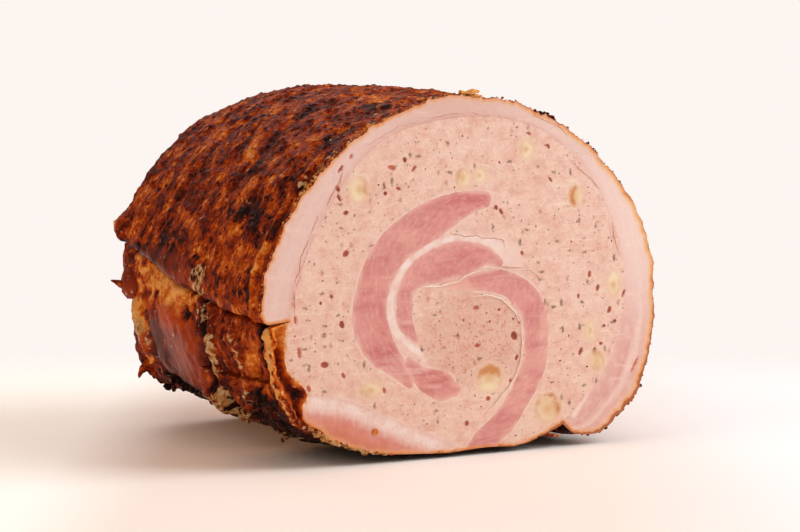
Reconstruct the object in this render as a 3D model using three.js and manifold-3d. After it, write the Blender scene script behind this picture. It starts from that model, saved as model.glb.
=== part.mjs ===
// Half of a stuffed rolled roast, lying on its side with the cut face towards -Y.
//
// A band of pork belly is wrapped round a core of light forcemeat. Strips of loin with a layer of fat
// lie in the core as a loose spiral, a second piece of belly closes the underside, and nuts show where
// the knife went through them. Every layer runs through the food, from the cut face to the roasted end.
//
// Millimetres, +Z up. The origin is on the surface that the roast rests on, below the middle of its box.
// A section is described in polar form about the roll's centre: 180 degrees is the left side in the
// view of the cut face, 90 is the top and -90 the bottom.

import * as THREE from "three";
import { mergeVertices } from "three/addons/utils/BufferGeometryUtils.js";
import Module from "manifold-3d";

const wasm = await Module();
wasm.setup();

// ---------------------------------------------------------------- driving dimensions

const LENGTH = 130; // from the cut face to the farthest point of the roasted end
const FRONT = -LENGTH / 2; // the plane of the cut face
const CENTRE_HEIGHT = 58; // of the roll's centre above the table
const GAP = 0.3; // between neighbouring layers
const OVERRUN = 12; // of a cutting bar past both ends of the roast
const WELL_CLEAR = 400; // larger than the roast each way
const ROUGHNESS = 1; // of the browned surface, from its lowest to its highest points

// Radius of the core by angle, under the belly wrap and then along the bare underside and left flank.
const CORE_RADII = [
  [180, 66], [165, 62.1], [150, 60], [135, 60], [120, 59.6], [105, 57.8], [90, 57.4], [75, 58.6],
  [60, 60.4], [45, 61.3], [30, 62.3], [15, 63.7], [0, 64.9], [-15, 65.6], [-30, 65.2], [-40, 63.6],
  [-52, 63.6], [-60, 62.8], [-75, 60.6], [-90, 58.5], [-105, 60.6], [-120, 65.2], [-135, 70.8],
  [-147, 76.6], [-160, 73.8], [-172, 69],
];

// Thickness of the belly wrap by angle: it is thin over the top and thick on the right.
const WRAP_THICKNESS = [
  [190, 10], [180, 12], [165, 11.5], [150, 10], [135, 7.7], [120, 6.4], [105, 6.8], [90, 6.7], [75, 6.2],
  [60, 5.9], [45, 6.3], [30, 8.6], [15, 10.4], [0, 12.3], [-15, 14.5], [-30, 15.9], [-45, 14.2], [-54, 9],
];

const SEAM_ANGLE = 187; // of the wrap's left edge, at the cut face
const SEAM_CLIMB = 17; // degrees that this edge climbs towards the roasted end
const NOTCH_ANGLE = -52; // of the wrap's other edge, on the underside
const SEAM_ROUNDING = [3.2, 0.72]; // degrees over which the left edge rounds off, and to what share
const NOTCH_ROUNDING = [9, 0.45]; // the same for the other edge

const FLANK_BULGE = 6.5; // how far the bare flank swells out just below the seam
const FLANK_EDGE = 2.2; // degrees below the seam where the swelling stands at its full height
const FLANK_FALL = [4, 26]; // degrees below the seam between which it goes down
const BARE_RISE = [0, 14]; // degrees below the seam between which the flank gets its own marks
const BARE_FALL = [-128, -100]; // angles between which those fade out towards the underside
const FLAT = [-0.93, -0.55]; // sine of the angles where the flattened underside turns into the sides

const BARREL = 2.6; // how much fuller the roast is at its middle than at the cut face
const FULLEST_ANGLE = 130; // where it is fullest
const END_ROUNDING = { wrap: [10, 2], rind: [7, 1.8], flank: [20, 6] }; // depth and inset at that end
const DOME = 4; // how far the middle of the roasted end stands out
const DOME_LUMPS = 0.6; // how uneven it is
const RAGGED_END = 0.8; // how uneven the wrap's edge is there
const END_SLANT = 6; // how much shorter the roast is on the side opposite its longest line
const FARTHEST_ANGLE = 165; // where that longest line is

// Marks that the strings left round the roast: place along it, depth in the wrap, depth in the flank.
const STRING_MARKS = [
  [-50.5, 1.1, 0.9],
  [-17.5, 1.2, 3.6],
  [17.5, 1, 0.5],
  [33, 0.4, 1.8],
  [49.5, 1, 0.8],
];
const STRING_WIDTH = 2.4;
const STRING_SHOULDER = 4; // from the middle of a mark to where the surface is at its full height

// Strips in the core: the points of a middle line in the plane of the cut, and the widths there.
const STRIPS = {
  loin_right: {
    line: [[-11, 58.8], [-3, 59], [5, 59.5], [13, 59], [20, 56], [25, 51], [27.7, 44], [28, 36],
      [26.8, 28.5], [23, 21.5], [18.5, 15], [13.5, 9], [8.5, 4], [5, -4]],
    widths: [1.5, 4, 6.5, 8, 9.5, 10, 10, 9.7, 9.5, 9, 9, 9.5, 11.5, 14],
  },
  loin_outer: {
    line: [[6.5, 87.3], [-3, 85.5], [-13, 81.5], [-22, 77], [-30, 71], [-35, 63.5], [-37.8, 55],
      [-37.8, 47], [-34.5, 39.5], [-30, 34.5], [-25.5, 29.5], [-22.5, 25.5]],
    widths: [6, 9.5, 13, 13, 12.5, 12.5, 12.5, 13, 12.3, 9, 5.5, 2.5],
  },
  loin_middle: {
    line: [[13, 65.6], [7, 67.8], [-1, 67.5], [-10, 66], [-18, 63.5], [-23.5, 58.5], [-24.8, 52], [-24, 46],
      [-20, 40.5]],
    widths: [2.5, 7, 12, 12.5, 9.5, 6.5, 6.2, 5.5, 2],
  },
  loin_lower: {
    line: [[-23, 34], [-19.5, 29.5], [-14, 26], [-8.5, 24], [-5, 23]],
    widths: [2.5, 6, 9.5, 9, 5],
  },
  fat_layer: {
    line: [[20.5, 63.5], [17.5, 68], [11, 72], [3, 74.3], [-6, 74.3], [-13, 72.3], [-20, 69], [-26, 64.5],
      [-29.5, 59], [-30.3, 53], [-30, 47.5], [-27.5, 43.8], [-23.5, 40.3], [-19.5, 36.5], [-17, 33.5]],
    widths: [3, 6.5, 4.5, 3, 3, 3.5, 4, 5, 4.5, 4, 4.5, 4, 3.6, 3, 1.5],
  },
};
const STRIP_STEPS = 2; // stretches of a strip's outline for each stretch of its middle line
const ROUND_END = [-50, 0, 50]; // where the points of a strip's round end lie, in degrees

// The belly piece under the core: its upper edge in the plane of the cut, from left to right.
const BASE_EDGE = [
  [-66.5, 27], [-62, 25.4], [-57, 24.2], [-50, 23], [-44, 21.4], [-38, 18.6], [-31, 15.5],
  [-23, 12], [-15, 8.5], [-8, 5], [-2, 1.5], [1, -3],
];

const EDGE_SLOPE = 0.3; // of that edge, downwards to the right

// Nuts cut by the knife: centre and half sizes in the plane of the cut.
const NUTS = [
  [33, 14, 5.8, 5.6], [9, 26, 5.6, 5.4], [23.8, 104, 3.2, 3.6], [-1.8, 94.9, 3.2, 3.6],
  [4.8, 95.5, 2.8, 2.6], [-42, 92, 3.8, 4.6], [44, 87.4, 3.3, 4.1], [60.2, 56, 3.1, 4.8],
  [-37.5, 25, 4.5, 2.9], [53.4, 29.4, 3.3, 4.2], [50.4, 40, 2.5, 3.8],
];
const NUT_SINK = 0.35; // how far a nut's middle lies behind the cut, as a share of its size

// Flakes of burnt rind that stand out from the browned surface: angle, place along the roast, length.
const FLAKES = [
  [-136, -63, 3.2], [-130, -61, 2.6], [-142, -57, 3], [-146, -14, 3.4], [-150, -20, 3], [-138, -17, 3.2],
  [-153, 38, 4.6], [168, 61, 4.4], [152, -60, 2.2], [58, -62.5, 2.4], [86, -63, 2.2],
];

const FLAKE_LEAN = 50; // degrees that a flake leans over, round the roll
const FLAKE_SHAPE = { root: 0.8, height: 1.5, thickness: 0.6, sides: 6 }; // shares of its length

// How finely the surfaces are divided.
const COVERED_STEPS = 26; // of the core's outline under the wrap; the wrap's outside has twice as many
const BARE_STEPS = 24; // of the core's outline where it is bare
const LEAST_STATION = 2.6; // between neighbouring sections along the roast
const DOME_STEPS = 4;
const NUT_SIDES = 12;

const LOOKS = {
  belly: { color: 0x8a3d1c, roughness: 0.55 },
  forcemeat: { color: 0xe6b9a6, roughness: 0.5 },
  loin: { color: 0xd58880, roughness: 0.45 },
  fat: { color: 0xefd2c6, roughness: 0.45 },
  nut: { color: 0xe9cf9d, roughness: 0.5 },
};

// ---------------------------------------------------------------- small helpers

const clamp = (x, low = 0, high = 1) => Math.min(high, Math.max(low, x));
const smooth = (low, high, x) => {
  const t = clamp((x - low) / (high - low));
  return t * t * (3 - 2 * t);
};
const bell = (x, width) => Math.exp(-(x * x) / (2 * width * width));
const radians = THREE.MathUtils.degToRad;

// A seeded generator, so that the roughness is the same in every build.
function randomFrom(seed) {
  let state = seed;
  return () => {
    state = (state + 0x6d2b79f5) | 0;
    let t = Math.imul(state ^ (state >>> 15), 1 | state);
    t = (t + Math.imul(t ^ (t >>> 7), 61 | t)) ^ t;
    return ((t ^ (t >>> 14)) >>> 0) / 4294967296;
  };
}

// A smooth curve through [angle, value] pairs, as a function of the angle.
function smoothTable(pairs, period = 0) {
  const sorted = pairs.map(([a, v]) => [a, v]).sort((p, q) => p[0] - q[0]);
  if (period) {
    const first = sorted.map(([a, v]) => [a + period, v]);
    const last = sorted.map(([a, v]) => [a - period, v]);
    sorted.unshift(...last);
    sorted.push(...first);
  }
  const slope = (i) => {
    const before = sorted[Math.max(0, i - 1)];
    const after = sorted[Math.min(sorted.length - 1, i + 1)];
    return (after[1] - before[1]) / (after[0] - before[0]);
  };
  return (angle) => {
    const a = clamp(angle, sorted[0][0], sorted.at(-1)[0]);
    let i = sorted.findIndex((pair) => pair[0] >= a) - 1;
    i = clamp(i, 0, sorted.length - 2);
    const [a0, v0] = sorted[i];
    const [a1, v1] = sorted[i + 1];
    const h = a1 - a0;
    const t = (a - a0) / h;
    const t2 = t * t;
    const t3 = t2 * t;
    return (2 * t3 - 3 * t2 + 1) * v0 + (t3 - 2 * t2 + t) * h * slope(i)
      + (3 * t2 - 2 * t3) * v1 + (t3 - t2) * h * slope(i + 1);
  };
}

// ---------------------------------------------------------------- the form of the roll

const coreTable = smoothTable(CORE_RADII, 360);
const thicknessTable = smoothTable(WRAP_THICKNESS);

// v runs from 0 at the cut face to 1 at the roasted end.
const seamAngle = (v) => SEAM_ANGLE - SEAM_CLIMB * Math.pow(v, 1.35);
// Degrees below the seam, going down the bare flank; negative under the wrap.
const belowSeam = (angle, v) => (angle < NOTCH_ANGLE ? angle + 360 : angle) - seamAngle(v);
// Share of an angle that is on the bare flank, fading in below the seam and out along the underside.
const onFlank = (angle, v) => smooth(...BARE_RISE, belowSeam(angle, v)) * (1 - smooth(...BARE_FALL, angle));
// 0 on the underside, so that the roast stays flat where it rests, and 1 on the sides and top.
const aboveTable = (angle) => smooth(...FLAT, Math.sin(radians(angle)));

// The roasted end isn't square to the roll: it reaches farthest on the upper left.
const alongRoast = (angle, v) => FRONT
  + v * (LENGTH - DOME - (END_SLANT * (1 - Math.cos(radians(angle - FARTHEST_ANGLE)))) / 2);

const barrel = (angle, v) => BARREL * smooth(0, 0.55, v) * (1 - 0.35 * smooth(0.75, 1, v))
  * aboveTable(angle) * (0.85 + 0.25 * Math.cos(radians(angle - FULLEST_ANGLE)));

function endInset([depth, inset], angle, v) {
  const y = alongRoast(angle, v);
  const end = alongRoast(angle, 1);
  const t = clamp((y - (end - depth)) / depth);
  return inset * (1 - Math.sqrt(1 - 0.96 * t * t));
}

function stringMarks(angle, v, which) {
  const wander = 1.2 * Math.sin(radians(2.3 * angle));
  const y = alongRoast(angle, v) + wander;
  let sum = 0;
  for (const mark of STRING_MARKS) sum += mark[which] * bell(y - mark[0], STRING_WIDTH);
  return sum * aboveTable(angle);
}

// Low swellings between the string marks.
const swelling = (angle, v) => aboveTable(angle)
  * (0.7 * Math.sin(radians(5 * angle) + 7 * v) + 0.5 * Math.sin(radians(9 * angle) - 13 * v));

function coreRadius(angle, v) {
  const below = belowSeam(angle, v);
  const bare = onFlank(angle, v);
  const bulge = FLANK_BULGE * smooth(0, FLANK_EDGE, below) * (1 - smooth(...FLANK_FALL, below));
  const marks = swelling(angle, v) - stringMarks(angle, v, 2);
  const end = THREE.MathUtils.lerp(
    endInset(END_ROUNDING.wrap, angle, v),
    endInset(END_ROUNDING.flank, angle, v),
    bare,
  );
  return coreTable(angle) + barrel(angle, v) + bulge + bare * marks - end;
}

// Share of the wrap's full thickness, which rounds off at its two edges.
function edgeShare(angle, v) {
  const round = (distance, [reach, least]) => {
    const t = clamp(distance / reach);
    return least + (1 - least) * Math.sqrt(t * (2 - t));
  };
  return round(seamAngle(v) - angle, SEAM_ROUNDING) * round(angle - NOTCH_ANGLE, NOTCH_ROUNDING);
}

function wrapRadius(angle, v) {
  const thickness = thicknessTable(angle) * edgeShare(angle, v);
  return coreRadius(Math.min(angle, seamAngle(v)), v) + thickness
    + 0.5 * swelling(angle, v) - stringMarks(angle, v, 1) - endInset(END_ROUNDING.rind, angle, v);
}

const pointAt = (angle, radius, y) => [
  radius * Math.cos(radians(angle)),
  y,
  CENTRE_HEIGHT + radius * Math.sin(radians(angle)),
];

const placeOnRoast = (y) => (y - FRONT) / LENGTH;

// Stations along the roast, from 0 to 1: every string mark has one, and a shoulder on either side.
function stations() {
  const places = [FRONT, -60, -40, -29, 6, 25.5, 41, 56, 61, 65];
  for (const [y] of STRING_MARKS) places.push(y - STRING_SHOULDER, y, y + STRING_SHOULDER);
  places.sort((p, q) => p - q);
  const kept = places.filter((y, i) => i === 0 || y - places[i - 1] >= LEAST_STATION);
  return kept.map(placeOnRoast);
}

const STATIONS = stations();
const coveredAngles = (v) => Array.from({ length: COVERED_STEPS + 1 }, (_, i) =>
  THREE.MathUtils.lerp(seamAngle(v), NOTCH_ANGLE, i / COVERED_STEPS));
const bareAngles = (v) => Array.from({ length: BARE_STEPS }, (_, i) =>
  THREE.MathUtils.lerp(NOTCH_ANGLE, seamAngle(v) - 360 + FLANK_EDGE, (i + 1) / BARE_STEPS));

// ---------------------------------------------------------------- meshes and solids

// A closed surface under construction: points, and triangles that face out.
function surface() {
  const points = [];
  const triangles = [];
  return {
    add: (point) => points.push(point) - 1,
    triangle: (a, b, c) => triangles.push(a, b, c),
    quad(a, b, c, d) {
      triangles.push(a, b, c, a, c, d);
    },
    solid() {
      const mesh = new wasm.Mesh({
        numProp: 3,
        vertProperties: new Float32Array(points.flat()),
        triVerts: new Uint32Array(triangles),
      });
      return new wasm.Manifold(mesh);
    },
  };
}

function solidOf(geometry) {
  const bare = geometry.clone();
  bare.deleteAttribute("normal");
  bare.deleteAttribute("uv");
  const merged = mergeVertices(bare, 1e-4);
  return new wasm.Manifold(new wasm.Mesh({
    numProp: 3,
    vertProperties: merged.attributes.position.array,
    triVerts: new Uint32Array(merged.index.array),
  }));
}

function geometryOf(solid) {
  const mesh = solid.getMesh();
  const geometry = new THREE.BufferGeometry();
  geometry.setAttribute("position", new THREE.BufferAttribute(mesh.vertProperties, 3));
  geometry.setIndex(new THREE.BufferAttribute(mesh.triVerts, 1));
  return geometry;
}

// A boolean can leave loose scraps: the largest body is the piece.
const largest = (solid) => solid.decompose().sort((a, b) => b.volume() - a.volume())[0];

// The whole core, with its bare flank and underside and its domed end.
function coreSolid() {
  const s = surface();
  const random = randomFrom(11);
  const rings = STATIONS.map((v) => {
    const rough = (angle) => ROUGHNESS * (random() - 0.5) * aboveTable(angle);
    const covered = coveredAngles(v).map((angle) => [angle, coreRadius(angle, v)]);
    const bare = bareAngles(v).map((angle) => [angle, coreRadius(angle, v) + rough(angle)]);
    return [...covered, ...bare].map(([angle, radius]) => pointAt(angle, radius, alongRoast(angle, v)));
  });
  const rim = rings.at(-1);
  const tip = FRONT + LENGTH - 1;
  for (let k = 1; k < DOME_STEPS; k++) {
    const share = 1 - k / DOME_STEPS;
    rings.push(rim.map(([x, y, z]) => {
      const lump = DOME_LUMPS * Math.sin(0.09 * x * share + 1) * Math.cos(0.11 * z * share);
      const end = THREE.MathUtils.lerp(tip, y, share * share);
      return [x * share, end + lump, CENTRE_HEIGHT + (z - CENTRE_HEIGHT) * share];
    }));
  }
  const index = rings.map((ring) => ring.map((point) => s.add(point)));
  const n = index[0].length;
  for (let j = 0; j + 1 < index.length; j++)
    for (let i = 0; i < n; i++) {
      const k = (i + 1) % n;
      s.quad(index[j][i], index[j][k], index[j + 1][k], index[j + 1][i]);
    }
  const front = s.add([0, FRONT, CENTRE_HEIGHT]);
  const back = s.add([0, tip, CENTRE_HEIGHT]);
  for (let i = 0; i < n; i++) {
    const k = (i + 1) % n;
    s.triangle(front, index[0][k], index[0][i]);
    s.triangle(back, index.at(-1)[i], index.at(-1)[k]);
  }
  return s.solid();
}

// Joins one stretch of the wrap's inner edge to the two stretches of its outer edge across from it.
function closeEnd(s, inner, outer, i, isFront) {
  const [a, b] = [inner[i], inner[i + 1]];
  const [p, q, r] = [outer[2 * i], outer[2 * i + 1], outer[2 * i + 2]];
  for (const [x, y, z] of [[a, p, q], [a, q, b], [b, q, r]]) {
    if (isFront) s.triangle(z, y, x);
    else s.triangle(x, y, z);
  }
}

// The belly wrap: its inside keeps to the core, and its outside has twice as many points round it.
function wrapSolid() {
  const s = surface();
  const random = randomFrom(23);
  const outside = [];
  const inside = [];
  for (const v of STATIONS) {
    const angles = coveredAngles(v);
    const finer = angles.flatMap((angle, i) => (i ? [(angle + angles[i - 1]) / 2, angle] : [angle]));
    inside.push(angles.map((angle) => {
      const radius = coreRadius(angle, v) + GAP;
      return s.add(pointAt(angle, radius, alongRoast(angle, v)));
    }));
    outside.push(finer.map((angle) => {
      const radius = wrapRadius(angle, v) + ROUGHNESS * (random() - 0.5) * aboveTable(angle);
      const ragged = RAGGED_END * (random() - 0.5) * smooth(0.9, 1, v);
      return s.add(pointAt(angle, radius, alongRoast(angle, v) + ragged));
    }));
  }
  const last = STATIONS.length - 1;
  for (let j = 0; j < last; j++) {
    for (let i = 0; i < 2 * COVERED_STEPS; i++)
      s.quad(outside[j][i], outside[j][i + 1], outside[j + 1][i + 1], outside[j + 1][i]);
    for (let i = 0; i < COVERED_STEPS; i++)
      s.quad(inside[j][i], inside[j + 1][i], inside[j + 1][i + 1], inside[j][i + 1]);
    s.quad(inside[j][0], outside[j][0], outside[j + 1][0], inside[j + 1][0]);
    s.quad(outside[j].at(-1), inside[j].at(-1), inside[j + 1].at(-1), outside[j + 1].at(-1));
  }
  for (let i = 0; i < COVERED_STEPS; i++) {
    closeEnd(s, inside[0], outside[0], i, true);
    closeEnd(s, inside[last], outside[last], i, false);
  }
  return s.solid();
}

// A straight bar through the whole roast, with an outline of [x, z] points in the plane of the cut.
function bar(outline) {
  const shape = new THREE.Shape(outline.map(([x, z]) => new THREE.Vector2(x, z)));
  const geometry = new THREE.ExtrudeGeometry(shape, { depth: LENGTH + 2 * OVERRUN, bevelEnabled: false });
  geometry.rotateX(Math.PI / 2);
  geometry.translate(0, LENGTH / 2 + OVERRUN, 0);
  return solidOf(geometry);
}

// The outline of a strip, wider all round by an allowance, with round ends.
function stripOutline({ line, widths }, allowance) {
  const curve = new THREE.SplineCurve(line.map(([x, z]) => new THREE.Vector2(x, z)));
  const width = smoothTable(widths.map((w, i) => [i / (widths.length - 1), w]));
  const steps = STRIP_STEPS * (line.length - 1);
  const left = [];
  const right = [];
  for (let i = 0; i <= steps; i++) {
    const t = i / steps;
    const middle = curve.getPoint(t);
    const along = curve.getTangent(t);
    const half = width(t) / 2 + allowance;
    left.push([middle.x - along.y * half, middle.y + along.x * half]);
    right.unshift([middle.x + along.y * half, middle.y - along.x * half]);
  }
  const roundEnd = (t, direction) => ROUND_END.map((turn) => {
    const out = curve.getTangent(t).multiplyScalar(direction * (width(t) / 2 + allowance));
    const point = out.rotateAround(new THREE.Vector2(), -radians(turn)).add(curve.getPoint(t));
    return [point.x, point.y];
  });
  return [...left, ...roundEnd(1, 1), ...right, ...roundEnd(0, -1)];
}

function nutSolid([x, z, halfWidth, halfHeight], allowance) {
  const size = (halfWidth + halfHeight) / 2;
  const cut = Math.sqrt(1 - NUT_SINK * NUT_SINK); // the cut is this much smaller than the nut
  const ball = new THREE.SphereGeometry(1, NUT_SIDES, NUT_SIDES / 2);
  ball.scale(halfWidth / cut + allowance, size / cut + allowance, halfHeight / cut + allowance);
  ball.translate(x, FRONT + (NUT_SINK * size) / cut, z);
  return solidOf(ball);
}

// A thin burnt flake, rooted in the browned surface and leaning outwards.
function flakeSolid([angle, y, length], radius) {
  const { root, height, thickness, sides } = FLAKE_SHAPE;
  const cone = new THREE.ConeGeometry(length * root, length * height, sides);
  cone.scale(thickness, 1, 1);
  cone.rotateZ(radians(angle - 90 + FLAKE_LEAN));
  cone.rotateX(Math.PI / 2);
  const [x, , z] = pointAt(angle, radius, y);
  cone.translate(x, y, z);
  return solidOf(cone);
}

// ---------------------------------------------------------------- the pieces

// Everything below the table and everything in front of the cut, as blocks to take away.
function block(x, y, z) {
  const box = new THREE.BoxGeometry(WELL_CLEAR, WELL_CLEAR, WELL_CLEAR);
  return solidOf(box.translate(x, y, z));
}
const table = block(0, 0, -WELL_CLEAR / 2);
const ahead = block(0, FRONT - WELL_CLEAR / 2, 0);
const core = coreSolid().subtract(table);

// All that lies below the belly piece's upper edge, which slopes down to the right.
function baseOutline(allowance) {
  const edge = BASE_EDGE.map(([x, z]) => [x + EDGE_SLOPE * allowance, z + allowance]);
  const [left, low] = [-WELL_CLEAR / 2, -OVERRUN];
  return [...edge, [edge.at(-1)[0], low], [left, low], [left, edge[0][1]]];
}

function withFlakes(solid, isWrap) {
  return FLAKES.filter(([angle]) => angle > NOTCH_ANGLE === isWrap).reduce((whole, flake) => {
    const v = placeOnRoast(flake[1]);
    const radius = (isWrap ? wrapRadius : coreRadius)(flake[0], v);
    return whole.add(flakeSolid(flake, radius));
  }, solid).subtract(table).subtract(ahead);
}

const barOf = (name, allowance = 0) => bar(stripOutline(STRIPS[name], allowance));
const cutters = Object.fromEntries(Object.keys(STRIPS).map((name) => [name, barOf(name, GAP)]));
const through = (name, ...neighbours) => neighbours.reduce(
  (piece, neighbour) => piece.subtract(cutters[neighbour]),
  core.intersect(barOf(name)),
);

const solids = {
  belly_wrap: withFlakes(wrapSolid(), true),
  belly_base: withFlakes(core, false).intersect(bar(baseOutline(0))),
  loin_right: through("loin_right"),
  loin_outer: through("loin_outer"),
  loin_middle: through("loin_middle", "loin_right"),
  loin_lower: through("loin_lower", "loin_outer"),
  fat_layer: through("fat_layer", "loin_outer", "loin_middle", "loin_right", "loin_lower"),
};
NUTS.forEach((nut, i) => {
  solids[`nut_${String(i + 1).padStart(2, "0")}`] = core.intersect(nutSolid(nut, 0));
});

solids.forcemeat = [
  bar(baseOutline(GAP)),
  ...Object.values(cutters),
  ...NUTS.map((nut) => nutSolid(nut, GAP)),
].reduce((rest, cutter) => rest.subtract(cutter), core);

const lookOf = (name) => LOOKS[Object.keys(LOOKS).find((word) => name.startsWith(word))];
const roast = new THREE.Group();
for (const [name, solid] of Object.entries(solids)) {
  const mesh = new THREE.Mesh(geometryOf(largest(solid)), new THREE.MeshStandardMaterial(lookOf(name)));
  mesh.name = name;
  roast.add(mesh);
}

export default roast;
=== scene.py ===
"""Half of a stuffed rolled roast: its looks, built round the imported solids.

The cut face is one plan in the plane of the cut: the outlines of the belly, the strips, the nuts and the
air holes are drawn in it and it is triangulated once, so neighbouring pieces share their edges. Each piece
then runs through the roast to the browned end, and its outside, where it has one, follows the form of the
solids with the relief of the crust.

Worked in millimetres, as the solids are, and turned into metres when a mesh is made. A section is polar
about the roll's centre: 180 degrees is the left side in the view of the cut face and 90 is the top.
"""

import math

import bmesh
import bpy
import numpy as np
from mathutils import Matrix, Vector, kdtree
from mathutils.geometry import delaunay_2d_cdt


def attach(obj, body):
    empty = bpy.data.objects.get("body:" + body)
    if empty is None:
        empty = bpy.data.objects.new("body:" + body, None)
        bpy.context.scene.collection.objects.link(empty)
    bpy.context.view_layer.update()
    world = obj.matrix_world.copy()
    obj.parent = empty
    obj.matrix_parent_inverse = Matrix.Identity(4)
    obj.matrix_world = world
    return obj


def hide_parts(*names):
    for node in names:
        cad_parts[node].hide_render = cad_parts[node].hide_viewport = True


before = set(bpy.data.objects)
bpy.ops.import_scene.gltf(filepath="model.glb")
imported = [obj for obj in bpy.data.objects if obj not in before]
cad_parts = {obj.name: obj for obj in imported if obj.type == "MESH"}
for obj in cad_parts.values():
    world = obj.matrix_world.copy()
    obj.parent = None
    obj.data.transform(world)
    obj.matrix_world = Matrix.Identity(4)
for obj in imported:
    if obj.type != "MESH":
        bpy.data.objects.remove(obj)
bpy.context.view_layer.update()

MM = 0.001

# ------------------------------------------------------------------ the form, as the solids have it

LENGTH = 130.0
FRONT = -LENGTH / 2
BACK_TIP = FRONT + LENGTH - 1
CENTRE = 58.0

# Radius of the inner roll, and thickness of the belly round it, at angles of the section.
CORE_RADII = [
    (180, 66), (165, 62.1), (150, 60), (135, 60), (120, 59.6), (105, 57.8), (90, 57.4), (75, 58.6),
    (60, 60.4), (45, 61.3), (30, 62.3), (15, 63.7), (0, 64.9), (-15, 65.6), (-30, 65.2), (-40, 63.6),
    (-52, 63.6), (-60, 62.8), (-75, 60.6), (-90, 58.5), (-105, 60.6), (-120, 65.2), (-135, 70.8),
    (-147, 76.6), (-160, 73.8), (-172, 69),
]
WRAP_THICKNESS = [
    (190, 10), (180, 12), (165, 11.5), (150, 10), (135, 7.7), (120, 6.4), (105, 6.8), (90, 6.7), (75, 6.2),
    (60, 5.9), (45, 6.3), (30, 8.6), (15, 10.4), (0, 12.3), (-15, 14.5), (-30, 15.9), (-45, 14.2), (-54, 9),
]
# The belly runs from the seam, which climbs by some degrees towards the far end, to the notch. Its edges are
# rounded: over how many degrees, and what share of the thickness is left.
SEAM_ANGLE = 187.0
SEAM_CLIMB = 17.0
NOTCH_ANGLE = -52.0
SEAM_ROUNDING = (3.2, 0.72)
NOTCH_ROUNDING = (9, 0.45)
FLANK_BULGE = 6.5
FLANK_EDGE = 2.2
FLANK_FALL = (4, 26)
BARE_RISE = (0, 14)
BARE_FALL = (-128, -100)
FLAT = (-0.93, -0.55)
BARREL = 2.6
FULLEST_ANGLE = 130
END_ROUNDING = {"wrap": (10, 2), "rind": (7, 1.8), "flank": (20, 6)}
DOME = 4.0
DOME_LUMPS = 0.6
END_SLANT = 6
FARTHEST_ANGLE = 165
# Marks of the string: place along the roast, depth in the belly, depth in the flank.
STRING_MARKS = [
    (-50.5, 1.1, 0.9), (-17.5, 1.2, 3.6), (17.5, 1, 0.5), (33, 0.4, 1.8), (49.5, 1, 0.8),
]
STRING_WIDTH = 2.4

# Strips in the cut face: the middle line, and the widths along it.
STRIPS = {
    "loin_right": (
        [(-11, 58.8), (-3, 59), (5, 59.5), (13, 59), (20, 56), (25, 51), (27.7, 44), (28, 36),
         (26.8, 28.5), (23, 21.5), (18.5, 15), (13.5, 9), (8.5, 4), (5, -4)],
        [1.5, 4, 6.5, 8, 9.5, 10, 10, 9.7, 9.5, 9, 9, 9.5, 11.5, 14]),
    "loin_outer": (
        [(6.5, 87.3), (-3, 85.5), (-13, 81.5), (-22, 77), (-30, 71), (-35, 63.5), (-37.8, 55),
         (-37.8, 47), (-34.5, 39.5), (-30, 34.5), (-25.5, 29.5), (-22.5, 25.5)],
        [6, 9.5, 13, 13, 12.5, 12.5, 12.5, 13, 12.3, 9, 5.5, 2.5]),
    "loin_middle": (
        [(13, 65.6), (7, 67.8), (-1, 67.5), (-10, 66), (-18, 63.5), (-23.5, 58.5), (-24.8, 52),
         (-24, 46), (-20, 40.5)],
        [2.5, 7, 12, 12.5, 9.5, 6.5, 6.2, 5.5, 2]),
    "loin_lower": (
        [(-23, 34), (-19.5, 29.5), (-14, 26), (-8.5, 24), (-5, 23)],
        [2.5, 6, 9.5, 9, 5]),
    "fat_layer": (
        [(20.5, 63.5), (17.5, 68), (11, 72), (3, 74.3), (-6, 74.3), (-13, 72.3), (-20, 69),
         (-26, 64.5), (-29.5, 59), (-30.3, 53), (-30, 47.5), (-27.5, 43.8), (-23.5, 40.3),
         (-19.5, 36.5), (-17, 33.5)],
        [3, 6.5, 4.5, 3, 3, 3.5, 4, 5, 4.5, 4, 4.5, 4, 3.6, 3, 1.5]),
}
BASE_EDGE = [
    (-90, 33), (-66.5, 27), (-62, 25.4), (-57, 24.2), (-50, 23), (-44, 21.4), (-38, 18.6), (-31, 15.5),
    (-23, 12), (-15, 8.5), (-8, 5), (-2, 1.5), (1, -3), (4, -9),
]
# Nuts: place in the cut face, half width, half height.
NUTS = [
    (33, 14, 5.8, 5.6), (9, 26, 5.6, 5.4), (23.8, 104, 3.2, 3.6), (-1.8, 94.9, 3.2, 3.6),
    (4.8, 95.5, 2.8, 2.6), (-42, 92, 3.8, 4.6), (44, 87.4, 3.3, 4.1), (60.2, 56, 3.1, 4.8),
    (-37.5, 25, 4.5, 2.9), (53.4, 29.4, 3.3, 4.2), (50.4, 40, 2.5, 3.8),
]

# ------------------------------------------------------------------ how finely it is made

FINE = 0.72  # along the outlines and the roast
GRID = 0.66  # between points in the plane of the cut
ROWS = int(LENGTH / (0.92))


# ------------------------------------------------------------------ helpers

def smooth(low, high, x):
    t = np.clip((x - low) / (high - low), 0, 1)
    return t * t * (3 - 2 * t)


def mix(a, b, t):
    return a + (b - a) * t


def bell(x, width):
    return np.exp(-(x * x) / (2 * width * width))


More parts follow.
